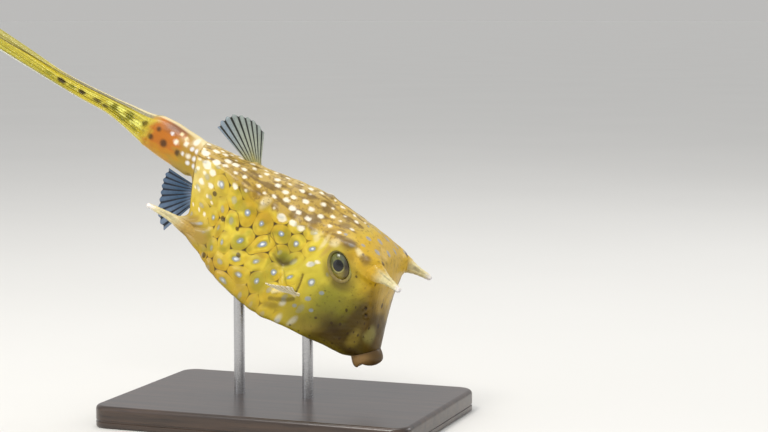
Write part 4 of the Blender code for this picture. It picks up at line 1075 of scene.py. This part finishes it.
class COWFISH_OT_skin(bpy.types.Operator):
    """One skin over the carapace, tail stem, snout and lips"""

    bl_idname = "cowfish.skin"
    bl_label = "Skin"

    def execute(self, context):
        form, colours = context.scene.cowfish_form, context.scene.cowfish_colours
        rings, along, line = body_rings()
        along, line = along[:, None], line[None, :]
        height, step, turned = body_relief(rings, along, line, form)
        kinds = zip(("Paint", "Marks", "Spots"), body_paint(rings, along, line, colours))
        layers = {key: repeat_ends(values) for key, values in kinds}
        raised = rings + outward(rings) * height[..., None]
        closing = [np.concatenate([v, v[:, :1]], 1) for v in np.broadcast_arrays(step, turned)]
        closing[1][:, -1] += LINES
        maps = {"Plates": repeat_ends(np.stack(closing, -1))}
        skin = shell("skin", drawn_in(raised), body_material(colours), layers, maps)
        hold(skin, "carapace", "head", "torso", "tail_stem", "lip_upper", "lip_lower")
        return {"FINISHED"}


# Section: horns and eyes

def horn_rings(horn, side, sides=48, count=90):
    """Oval rings along a horn's path, with fine growth rings and a round tip."""
    path, wide, tall, t = horn_path(horn, count)
    ahead = np.gradient(path, axis=0)
    ahead /= np.linalg.norm(ahead, axis=1, keepdims=True)
    level = np.cross(np.array([0.0, 0.0, 1.0]), ahead)
    level /= np.linalg.norm(level, axis=1, keepdims=True)
    up = np.cross(ahead, level)
    turn = circle(sides)[None, :]
    cap = wide[-1] / np.linalg.norm(path[-1] - path[0])
    tip = np.sqrt(np.clip(1 - ((t - 1 + cap) / cap).clip(0) ** 2, 0, 1))
    growth = 0.025 * np.sin(t * 60)[:, None] * ramp(t, 0.2, 0.5)[:, None]
    ridges = 1 + growth + 0.02 * np.cos(turn * 7 + 4 * t[:, None])
    scale = (tip[:, None] * ridges)[..., None]
    ring = (wide[:, None] * np.cos(turn))[..., None] * level[:, None]
    ring = ring + (tall[:, None] * np.sin(turn))[..., None] * up[:, None]
    return (path[:, None] + ring * scale) * np.array([1, side, 1]), t[:, None], turn


class COWFISH_OT_horns(bpy.types.Operator):
    """The two front and two rear horns"""

    bl_idname = "cowfish.horns"
    bl_label = "Horns"

    def execute(self, context):
        colours = context.scene.cowfish_colours
        # Cast resin, airbrushed, which lets a little light through.
        resin = painted("Cast resin horn", 0.35, Subsurface_Weight=0.15,
                        Subsurface_Radius=(0.0012, 0.0008, 0.0004))[0]
        for end, horn, root in (("front", FRONT_HORN, "forehead"), ("rear", REAR_HORN, "back")):
            for side, word in ((-1, "right"), (1, "left")):
                rings, t, turn = horn_rings(horn, side)
                streak = round_ripple(21, t * 3, turn, 3)
                paint = layered(rings, colours, root, (
                    ("horn", ramp(t + 0.06 * streak, 0.3, 0.62)),
                    ("shade", 0.45 * ramp(streak, 0.45, 0.9) * bell(t, 0.62, 0.2)),
                    ("horn_tip", ramp(t + 0.03 * streak, 0.8, 0.97)),
                ))
                name = f"horn_{end}_{word}"
                piece = shell(f"{name}_fine", drawn_in(rings), resin, {"Paint": repeat_ends(paint)})
                hold(piece, "horn", name)
        return {"FINISHED"}


def eye_oval(long, short, turn):
    """Offsets round an oval that leans with the eye, from its half axes."""
    along = (long * np.cos(turn))[..., None] * EYE_LONG_WAY
    return along + (short * np.sin(turn))[..., None] * EYE_SHORT_WAY


def eyeball_rings(side, rings=72, sides=96):
    """Rings of an eyeball about its outward pole: an oval, shallow ball."""
    polar = np.linspace(0, pi, rings + 2)[1:-1, None]
    turn = circle(sides)[None, :]
    reach = np.sin(polar)
    centre = np.array([EYE_AT[0], side * (EYE_SEAT_Y - EYE_SUNK), EYE_AT[1]])
    ball = eye_oval(EYE_LONG * reach, EYE_SHORT * reach, turn)
    depth = side * (EYE_PROUD + EYE_SUNK) * np.cos(polar) + 0 * turn
    return centre + ball + depth[..., None] * np.array([0, 1.0, 0]), polar, turn


class COWFISH_OT_eyes(bpy.types.Operator):
    """Glass eyes and the rings of skin round them"""

    bl_idname = "cowfish.eyes"
    bl_label = "Eyes"

    def execute(self, context):
        form, colours = context.scene.cowfish_form, context.scene.cowfish_colours
        # Glass with its colours painted behind a polished face, in a rim of airbrushed resin.
        glass = painted("Painted glass eye", 0.0, Roughness=0.25, Specular_IOR_Level=0.5, IOR=1.4,
                        Coat_Weight=0.5, Coat_Roughness=0.03)[0]
        lid = painted("Airbrushed resin eye rim", 0.4, Roughness=0.45)[0]
        for side, word in ((-1, "right"), (1, "left")):
            rings, polar, turn = eyeball_rings(side)
            front = np.cos(polar) > 0
            reach = np.where(front, np.sin(polar), 1.2)
            x, z = reach * np.cos(turn) * EYE_LONG, reach * np.sin(turn) * EYE_SHORT
            pupil = np.hypot((x + 0.5) / 1.1, z) / PUPIL_RADIUS
            streak = ripple(31, np.cos(turn) * 9, np.sin(turn) * 9, 2 * reach)
            lit = ramp(x * 0.9 - z * 0.5, -1.0, 1.6)
            paint = layered(rings, colours, "iris", (
                ("cheek", 0.35 * ramp(streak, 0.1, 0.9)),
                ("dark", 0.4 * ramp(streak, -0.1, -0.9)),
                # Painted highlight: the top of the iris paler and blue-grey.
                ("spot_ring", 0.15 * ramp(z - 0.2 * x, 1.2, 3.6)),
                ("belly", 0.6 * ramp(x, 1.2, 3.6)),
                # Painted shade: the iris darker towards its front and top.
                ("dark", 0.7 * ramp(z + 0.5 * x, 1.4, 4.0)),
                ("gold", bell(pupil, 1.2, 0.1) * (0.1 + 0.9 * lit)),
                ("dark", 0.95 * ramp(reach, 0.84, 0.97)),
                ("pupil", ramp(pupil, 1.12, 1.0)),
            ))
            ball = shell(f"eye_{word}_glass", drawn_in(rings), glass, {"Paint": repeat_ends(paint)})
            hold(ball, "eye", f"eye_{word}")
            ring = self.rim(side, form.eye_rim / MM)
            low = ramp(ring[..., 2], EYE_AT[1] + 3, EYE_AT[1] - 5)
            tint = layered(ring, colours, "cheek", (
                ("cream", 0.15), ("mauve", 0.5 * low),
                ("shade", 0.6 * ramp(ring[..., 0], EYE_AT[0] + 3, EYE_AT[0] - 4) * (1 - low)),
            ))
            hold(shell(f"eye_rim_{word}", ring, lid, {"Paint": tint}), "carapace")
        return {"FINISHED"}

    def rim(self, side, radius):
        """Rings of an oval hoop: a round bar, flattened outwards, carried round the eye's edge."""
        turn = np.linspace(0, 2 * pi, 121)[:, None]
        bar = circle(20)[None, :]
        swell = 1 + 0.25 * np.sin(turn + 2.6)
        reach = 0.45 * radius + radius * 1.25 * swell * np.cos(bar)
        hoop = eye_oval(EYE_LONG + reach, EYE_SHORT + reach, turn)
        out = side * (EYE_SEAT_Y + radius * 0.95 * np.sin(bar) + 0 * turn)
        middle = np.array([EYE_AT[0], 0.0, EYE_AT[1]])
        return middle + hoop + out[..., None] * np.array([0, 1.0, 0])


# Section: fins

def both_faces(*fields):
    """Fields of a fin by ring, out along one face and back along the other."""
    return [np.concatenate([field, field[::-1]]).T for field in np.broadcast_arrays(*fields)]


def fan_rings(fin, per_ray=14, rows=70):
    """Rings round a fin whose rays spread from one point: out on one face, back on the other.

    Rays leave the apex at evenly spaced angles. Between two rays the margin dips and the membrane
    thins, and near the margin each ray splits in three.
    """
    gaps = fin["rays"] - 1
    across = np.linspace(0, 1, gaps * per_ray + 1)[:, None]
    out = np.linspace(0, 1, rows)[None, :]
    phase = across * gaps
    at_ray = (0.5 + 0.5 * np.cos(2 * pi * phase)) ** 0.7
    angle = radians(1.0) * (fin["angles"][0] + (fin["angles"][1] - fin["angles"][0]) * across)
    reaches = np.array(fin["margin"])[:, None]
    margin = smooth_curve(np.linspace(0, 1, len(reaches)), reaches, across[:, 0])
    margin = margin * (1 - FIN_DIP * (1 - at_ray)) * (1 + 0.012 * ripple(41, phase * 0.9))
    radius = fin["root"] + (margin - fin["root"]) * out
    e1, e2 = np.array(fin["e1"], float), np.array(fin["e2"], float)
    e1 /= np.linalg.norm(e1)
    e2 = e2 - e1 * (e2 @ e1)
    e2 /= np.linalg.norm(e2)
    normal = np.cross(e1, e2)
    direction = np.cos(angle)[..., None] * e1 + np.sin(angle)[..., None] * e2
    middle_angle = radians(sum(fin["angles"]) / 2)
    sideways = -sin(middle_angle) * e1 + cos(middle_angle) * e2
    widen = (across * 2 - 1) * fin["stalk"] * (1 - np.clip(out / 0.4, 0, 1)) ** 2
    share = np.clip((radius - fin["root"]) / (margin - fin["root"]), 0, 1)
    middle = np.array(fin["apex"], float) + radius[..., None] * direction
    middle = middle + widen[..., None] * sideways
    bow = fin["curl"] * share ** 2 + fin["wave"] * share * np.sin(3 * pi * across)
    middle = middle + bow[..., None] * normal
    split = 1 - 0.35 * ramp(share, 0.55, 0.9) * (0.5 - 0.5 * np.cos(6 * pi * phase))
    ray = FIN_RAY * (1 - 0.45 * share) * split
    half = 0.5 * (FIN_SKIN + (ray - FIN_SKIN) * at_ray)
    half = half + 0.5 * (fin["flesh"] - half * 2) * np.clip(1 - share / 0.25, 0, 1) ** 2
    half = half * (0.35 + 0.65 * np.minimum(1, 2.5 * np.minimum(across, 1 - across) * gaps))
    half[:, 0] = 0
    half[:, -1] = 0
    upper, lower = (middle + side * half[..., None] * normal for side in (1, -1))
    rings = np.concatenate([upper, lower[::-1]]).swapaxes(0, 1)
    return rings, both_faces(at_ray, share, phase, split)


def fin_material():
    """Clear-cast resin membrane over tinted rays, with its cover from the paint's alpha."""
    made, shader, paint = painted("Clear-cast resin fin", 0.15, Roughness=0.4)
    feed(shader, {"Alpha": paint.outputs["Alpha"]})
    return made


def fan_paint(rings, parts, colours, ray, membrane, root, edge, thin):
    """Rays over a darker clear membrane, and a fleshy root. The fourth channel is the cover."""
    at_ray, share, phase, split = parts
    line = ramp(at_ray, 0.25, 0.55) * (0.45 + 0.55 * split)
    streak = 0.5 + 0.5 * ripple(43, phase * 2.2, share * 2)
    rear = ramp(phase, phase.max() * 0.55, phase.max())
    paint = layered(rings, colours, membrane, (
        (ray, line),
        (edge, (0.3 * ramp(share, 0.5, 1.0) + 0.6 * rear * ramp(share, 0.3, 0.7)) * line),
        (root, ramp(share + 0.1 * streak, 0.5, 0.12)),
    ))
    cover = thin + (0.95 - thin) * line
    paint[..., 3] = np.maximum(cover, ramp(share, 0.34, 0.1))
    return paint


def mirrored(fin):
    """The same fin on the other side of the body."""
    turned = dict(fin)
    for key in ("apex", "e1", "e2"):
        turned[key] = tuple(np.array(fin[key]) * np.array([1, -1, 1]))
    turned["curl"] = -fin["curl"]
    return turned


class COWFISH_OT_fins(bpy.types.Operator):
    """Dorsal, anal and pectoral fins, with rays under a clear membrane"""

    bl_idname = "cowfish.fins"
    bl_label = "Clear fins"

    def execute(self, context):
        colours = context.scene.cowfish_colours
        clear = fin_material()
        # Name and form, then the colours of ray, skin, root and edge, and the skin's cover.
        pale = ("white", "cream", "white", "white", 0.8)
        kinds = (
            ("dorsal_fin", DORSAL, "ray", "membrane", "gold", "spot_ring", 0.92),
            ("anal_fin", ANAL, "sea_ray", "sea_skin", "spot_ring", "spot_ring", 0.92),
            ("pectoral_fin_right", PECTORAL, *pale),
            ("pectoral_fin_left", mirrored(PECTORAL), *pale),
        )
        for name, fin, *tints in kinds:
            rings, parts = fan_rings(fin)
            paint = fan_paint(rings, parts, colours, *tints)
            hold(shell(f"{name}_fine", rings, clear, {"Paint": paint}), "fin", name)
        return {"FINISHED"}


# Marks of the tail fin: x, share of its depth from the lower edge, half length in millimetres, half
# height as a share, colour and strength.
TAIL_MARKS = (
    (-22.7, 0.57, 2.4, 0.17, "cheek", 0.85), (-13.6, 0.6, 2.0, 0.17, "cheek", 0.85),
    (-16.5, 0.3, 2.6, 0.1, "cheek", 0.7), (-4.6, 0.66, 2.0, 0.1, "shade", 0.7),
    (-8.6, 0.3, 2.4, 0.08, "cheek", 0.6), (-2.6, 0.4, 1.6, 0.08, "shade", 0.5),
    (-18.9, 0.66, 2.6, 0.13, "tail_lime", 1.0), (-17.0, 0.46, 2.0, 0.08, "tail_lime", 0.8),
    (-8.2, 0.54, 2.8, 0.12, "tail_lime", 1.0), (-11.0, 0.42, 1.6, 0.07, "tail_lime", 0.8),
    (-25.8, 0.66, 1.8, 0.1, "tail_lime", 0.8), (-36.0, 0.62, 5.0, 0.08, "tail_lime", 0.5),
    (-52.5, 0.45, 2.6, 0.15, "dark", 0.95), (-40.7, 0.45, 2.4, 0.15, "dark", 0.95),
    (-46.2, 0.46, 2.2, 0.1, "cheek", 0.8), (-31.8, 0.42, 2.8, 0.11, "dark", 0.8),
    (-27.0, 0.37, 2.0, 0.1, "dark", 0.75), (-60.0, 0.42, 2.6, 0.09, "cheek", 0.7),
)


def tail_fin_rings(rows=300, per_ray=16, rays=10):
    """Rings round the folded tail fin: pleats from ray to ray over an oval core that thins."""
    x = np.linspace(1.0, -TAIL_LENGTH, rows)[None, :]
    across = np.linspace(0, 1, (rays - 1) * per_ray + 1)[:, None]
    phase = across * (rays - 1)
    z, deep, wide = smooth_curve(TAIL[:, 0], TAIL[:, 1:], x[0]).T
    down = np.clip(-x / TAIL_LENGTH, 0, 1)
    at_ray = (0.5 + 0.5 * np.cos(2 * pi * phase)) ** 0.8
    bulge = np.sqrt(np.clip(1 - (2 * across - 1) ** 2, 0.01, 1)) ** (1 - 0.45 * down)
    half = wide / 2 * bulge * (1 - 0.35 * (1 - at_ray) * ramp(down, 0.0, 0.2))
    half = half * (1 + 0.06 * np.cos(2 * pi * phase * 3))
    fray = 1.6 * ripple(51, phase * 1.4) * ramp(down, 0.8, 1.0)
    tooth = (1 - at_ray) * 2.2 * ramp(down, 0.9, 1.0)
    sway = 0.25 * np.sin(2 * pi * phase / 2) * ramp(down, 0.1, 0.5)
    start, end = (np.clip(gap, 0, 1) ** 0.5 for gap in (1.0 - x, x + TAIL_LENGTH))
    middle = np.stack([
        x + np.maximum(tooth - fray * 0.5, 0) * np.ones_like(half), sway + 0 * half,
        z + (across - 0.5) * deep * 0.98 + 0 * half,
    ], -1)
    offset = (half * start * end)[..., None] * np.array([0, 1.0, 0])
    rings = np.concatenate([middle + offset, (middle - offset)[::-1]]).swapaxes(0, 1)
    return rings, both_faces(across + 0 * half, down + 0 * half)


class COWFISH_OT_tail_fin(bpy.types.Operator):
    """The tail fin, folded to a long brush"""

    bl_idname = "cowfish.tail_fin"
    bl_label = "Tail fin"

    def execute(self, context):
        colours = context.scene.cowfish_colours
        rings, (across, down) = tail_fin_rings()
        streak = ripple(52, across * 30, down * 6)
        blur = 0.15 * ripple(53, across * 5, down * 55)
        upper_line = 0.87 - 0.24 * ramp(down, 0.5, 0.92)
        above = ramp(across, upper_line - 0.01, upper_line + 0.03)
        coats = [
            ("cheek", 0.5 * ramp(streak, 0.0, 0.9) * ramp(down, 0.05, 0.3)),
            ("tail_lime", 0.35 * ramp(streak, -0.2, -0.9)),
            ("cheek", 0.4 * ramp(down, 0.35, 0.6) * ramp(across, 0.7, 0.3)),
            ("cheek", 0.5 * bell(down, 0.17, 0.1) * bell(across, 0.5, 0.3)),
        ]
        for x, share, long, tall, key, strength in TAIL_MARKS:
            gap = np.hypot((down * TAIL_LENGTH + x) / long, (across - share) / tall) + blur
            coats.append((key, strength * ramp(gap, 1.25, 0.5)))
        coats += [
            ("gold", 0.8 * above * ramp(down, 0.5, 0.7)),
            ("tail_edge", 0.9 * above * ramp(down, 0.65, 0.45)),
            ("dark", 0.75 * bell(across, upper_line, 0.035) * ramp(down, 0.12, 0.3)),
            ("cream", 0.7 * ramp(across, 0.95, 0.985) * ramp(down, 0.75, 0.5)),
            ("spot_core", 0.6 * ramp(across, 0.1, 0.02)),
            ("golden", 0.5 * ramp(down, 0.06, 0.01)),
            ("stem", 0.8 * ramp(down, 0.03, 0.0)),
            ("spot_core", 0.5 * ramp(down, 0.94, 1.0)),
        ]
        paint = layered(rings, colours, "tail_yellow", coats)
        paint[..., 3] = 1
        # Cast resin, tinted and airbrushed, satin.
        resin = painted("Tinted resin tail fin", 0.2)[0]
        hold(shell("caudal_fin_fine", rings, resin, {"Paint": paint}), "fin", "caudal_fin")
        return {"FINISHED"}


# Section: the stand and the stage

# The base's side from its underside up to its groove: inset and height in millimetres.
BASE_FOOT = ((0.7, 0.0), (0.0, 0.7), (0.0, 2.6), (0.35, 2.8), (0.35, 3.4), (0.0, 3.6))
ROD_CHAMFER = 0.4


def lathe(profile, sides, middle=0.0):
    """Rings round an upright axis at x = middle, from rows of radius and height."""
    turn = circle(sides)
    return np.array([np.c_[middle + radius * np.cos(turn), radius * np.sin(turn), 0 * turn + height]
                     for radius, height in profile])


def outline(length, width, corner, per_corner=12):
    """A rectangle with round corners: a quarter circle about each corner's centre, in turn."""
    quarter = np.arange(4).repeat(per_corner)
    turn = (quarter + np.tile(np.linspace(0, 1, per_corner), 4)) * pi / 2
    x = np.array([1, -1, -1, 1])[quarter] * (length / 2 - corner) + corner * np.cos(turn)
    y = np.array([1, 1, -1, -1])[quarter] * (width / 2 - corner) + corner * np.sin(turn)
    return np.stack([x, y], -1)


class COWFISH_OT_stand(bpy.types.Operator):
    """The wooden base and the two steel rods"""

    bl_idname = "cowfish.stand"
    bl_label = "Display stand"

    def execute(self, context):
        settings = context.scene.cowfish_stand
        low, high = (np.array(corner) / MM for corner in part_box("stand_base"))
        size, edge, corner = high - low, settings.edge / MM, settings.corner / MM
        turn = np.linspace(0, pi / 2, 9)
        inset, rise = np.transpose(BASE_FOOT)
        inset = np.concatenate([inset, edge * (1 - np.cos(turn)), [edge + 0.01]])
        rise = np.concatenate([rise, size[2] - edge * (1 - np.sin(turn)), [size[2]]])
        flat = [outline(size[0] - 2 * i, size[1] - 2 * i, corner - min(i, corner / 2))
                for i in inset]
        rings = np.array([np.c_[ring, np.full(len(ring), z)] for ring, z in zip(flat, rise)])
        wood = self.wood(settings)
        base = shell("stand_base_fine", drawn_in(rings), wood, place=as_it_is, sharp=radians(40))
        hold(base, "stand_base", "stand_base")
        steel = self.steel(settings)
        for word in ("front", "rear"):
            low, high = (np.array(corner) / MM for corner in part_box(f"stand_rod_{word}"))
            radius, tall = (high[0] - low[0]) / 2, high[2] - low[2]
            inner, cut = radius - ROD_CHAMFER, ROD_CHAMFER
            levels = ((inner, 0.0), (radius, cut), (radius, tall - cut), (inner, tall))
            rings = lathe([(r, low[2] + z) for r, z in levels], 48, low[0] + radius)
            rod = shell(
                f"stand_rod_{word}_fine", drawn_in(rings), steel, place=as_it_is, sharp=radians(30))
            hold(rod, "stand_rod", f"stand_rod_{word}")
        return {"FINISHED"}

    def wood(self, settings):
        """Dark-stained hardwood under satin lacquer, with pores and grain along its length."""
        made, tree, shader = finish("Stained hardwood", Roughness=0.32, Coat_Weight=0.35,
                                    Coat_Roughness=0.18)
        place = add(tree, "TexCoord").outputs["Object"]
        stretched = add(tree, "Mapping", {"Vector": place, "Scale": (6.0, 90.0, 90.0)})
        grain = add(tree, "TexNoise", {"Vector": stretched, "Scale": 3.0, "Detail": 5.0,
                                       "Distortion": 0.6})
        shade = add(tree, "ValToRGB", [grain], ((0.3, settings.wood), (0.72, settings.grain)))
        pores = add(tree, "Mapping", {"Vector": place, "Scale": (60.0, 1500.0, 1500.0)})
        pore = add(tree, "TexNoise", {"Vector": pores, "Scale": 1.0, "Detail": 2.0})
        dark = add(tree, "MapRange", (pore, 0.3, 0.45, 0.55, 1.0))
        mixed = add(tree, "VectorMath", (shade, dark), operation="SCALE")
        bump = add(tree, "Bump", {"Strength": 0.25, "Distance": 0.0001, "Height": pore})
        feed(shader, {"Base Color": mixed, "Normal": bump})
        return made

    def steel(self, settings):
        """Stainless bar, brushed round its girth, with fine lines 0.1 mm apart."""
        made, tree, shader = finish("Brushed stainless steel", Metallic=1.0, Roughness=0.3,
                                    Base_Color=settings.steel)
        place = add(tree, "TexCoord").outputs["Object"]
        lines = add(tree, "Mapping", {"Vector": place, "Scale": (300.0, 300.0, 9000.0)})
        brush = add(tree, "TexNoise", {"Vector": lines, "Scale": 1.0, "Detail": 2.0})
        rough = add(tree, "MapRange", (brush, 0.3, 0.7, 0.22, 0.4))
        bump = add(tree, "Bump", {"Strength": 0.2, "Distance": 0.00005, "Height": brush})
        feed(shader, {"Roughness": rough, "Normal": bump})
        return made


# The floor's radius and thickness in millimetres.
FLOOR_RADIUS, FLOOR_DEPTH = 40000.0, 20.0

# The room's linear colours at the horizon and overhead, the heights between which they blend, and
# its strength.
HORIZON, OVERHEAD = (0.729, 0.721, 0.707, 1.0), (0.93, 0.94, 0.96, 1.0)
BLEND_FROM, BLEND_TO = 0.01, 0.3
ROOM_STRENGTH = 0.69

# Where the camera looks: to the right of the base of the tail fin and below it, in metres.
AIM_RIGHT, AIM_DOWN = 0.1062, 0.0391

# Lights: name, place, size, power in watts and colour, all aimed at the middle of the fish.
LIGHTS_AIM = Vector((0.0, 0.0, 0.1))
LIGHTS = (
    ("key", (-0.2, -0.8, 1.15), 0.5, 10.0, (1.0, 0.98, 0.94)),
    ("fill", (-0.9, -0.9, 0.4), 0.9, 1.5, (0.94, 0.97, 1.0)),
    ("top", (-0.1, 0.25, 1.2), 0.7, 3.5, (1.0, 1.0, 1.0)),
    ("rim", (0.8, 0.8, 0.6), 0.5, 2.5, (0.95, 0.97, 1.0)),
)


class COWFISH_OT_stage(bpy.types.Operator):
    """Pale floor, soft lights and the camera"""

    bl_idname = "cowfish.stage"
    bl_label = "Stage"

    def execute(self, context):
        settings = context.scene.cowfish_stage
        self.floor(settings)
        self.room(context)
        context.scene.view_settings.view_transform = "Standard"
        for name, place, size, power, colour in LIGHTS:
            light = bpy.data.lights.new(name, "AREA")
            light.shape, light.size, light.energy, light.color = "DISK", size, power, colour
            lamp = bpy.data.objects.new(name, light)
            lamp.location = place
            aim = LIGHTS_AIM - Vector(place)
            lamp.rotation_euler = aim.to_track_quat("-Z", "Y").to_euler()
            context.scene.collection.objects.link(lamp)
        self.camera(context, settings)
        return {"FINISHED"}

    def floor(self, settings):
        """A wide disc at floor level, plain and pale."""
        rings = lathe([(FLOOR_RADIUS, -FLOOR_DEPTH), (FLOOR_RADIUS, 0.0)], 96)
        # Board under matt paint, faintly clouded.
        made, tree, shader = finish("Matt painted board", Roughness=0.7)
        place = add(tree, "TexCoord").outputs["Object"]
        cloud = add(tree, "TexNoise", {"Vector": place, "Scale": 4.0, "Detail": 3.0})
        level = add(tree, "MapRange", {"Value": cloud, "To Min": 0.97, "To Max": 1.02})
        tint = add(tree, "VectorMath", (settings.floor[:3], level), operation="SCALE")
        feed(shader, {"Base Color": tint})
        shell("floor", drawn_in(rings), made, place=as_it_is, sharp=radians(30))

    def room(self, context):
        """Pale light from all round, as dim at the horizon as the far floor, to hide the join."""
        world = bpy.data.worlds.new("Pale room")
        world.use_nodes = True
        tree = world.node_tree
        upward = add(tree, "SeparateXYZ", [add(tree, "TexCoord").outputs["Generated"]]).outputs["Z"]
        rise = add(tree, "MapRange", (upward, BLEND_FROM, BLEND_TO, 0.0, 1.0),
                   interpolation_type="SMOOTHSTEP")
        sky = add(tree, "Mix", (rise, HORIZON, OVERHEAD), data_type="RGBA")
        feed(tree.nodes["Background"], {"Color": sky, "Strength": ROOM_STRENGTH})
        context.scene.world = world

    def camera(self, context, settings):
        """Looks at the fish from its right and a little from the front, framed as in the photo."""
        a, e = settings.azimuth, settings.elevation
        back = Vector((sin(a) * cos(e), -cos(a) * cos(e), sin(e)))
        right = Vector((cos(a), sin(a), 0.0))
        up = back.cross(right)
        data = bpy.data.cameras.new("camera")
        data.lens, data.sensor_width = settings.lens, 36.0
        camera = bpy.data.objects.new("camera", data)
        target = Vector(TAIL_BASE_AT) * MM + right * AIM_RIGHT - up * AIM_DOWN
        turned = Matrix((right, up, back)).transposed().to_4x4()
        camera.matrix_world = Matrix.Translation(target + back * settings.distance) @ turned
        context.scene.collection.objects.link(camera)
        context.scene.camera = camera


class COWFISH_PT_panel(bpy.types.Panel):
    """Sizes, colours and steps of the model"""

    bl_idname = "COWFISH_PT_panel"
    bl_label = "Longhorn Cowfish"
    bl_space_type = "VIEW_3D"
    bl_region_type = "UI"
    bl_category = "Cowfish"

    def draw(self, context):
        for group in GROUPS:
            settings = getattr(context.scene, group)
            for key in settings.bl_rna.properties.keys():
                if key not in ("rna_type", "name"):
                    self.layout.prop(settings, key)
        for step in STEPS:
            self.layout.operator(step.bl_idname)


GROUPS = {
    "cowfish_form": CowfishForm, "cowfish_colours": CowfishColours,
    "cowfish_stand": CowfishStand, "cowfish_stage": CowfishStage,
}
STEPS = (
    COWFISH_OT_skin, COWFISH_OT_horns, COWFISH_OT_eyes, COWFISH_OT_fins, COWFISH_OT_tail_fin,
    COWFISH_OT_stand, COWFISH_OT_stage,
)


def register():
    for name, group in GROUPS.items():
        bpy.utils.register_class(group)
        setattr(bpy.types.Scene, name, PointerProperty(type=group))
    for step in (*STEPS, COWFISH_PT_panel):
        bpy.utils.register_class(step)


def unregister():
    for step in reversed((*STEPS, COWFISH_PT_panel)):
        bpy.utils.unregister_class(step)
    for name, group in GROUPS.items():
        delattr(bpy.types.Scene, name)
        bpy.utils.unregister_class(group)


def main():
    register()
    bpy.ops.cowfish.skin()
    bpy.ops.cowfish.horns()
    bpy.ops.cowfish.eyes()
    bpy.ops.cowfish.fins()
    bpy.ops.cowfish.tail_fin()
    bpy.ops.cowfish.stand()
    bpy.ops.cowfish.stage()


if __name__ == "__main__":
    main()
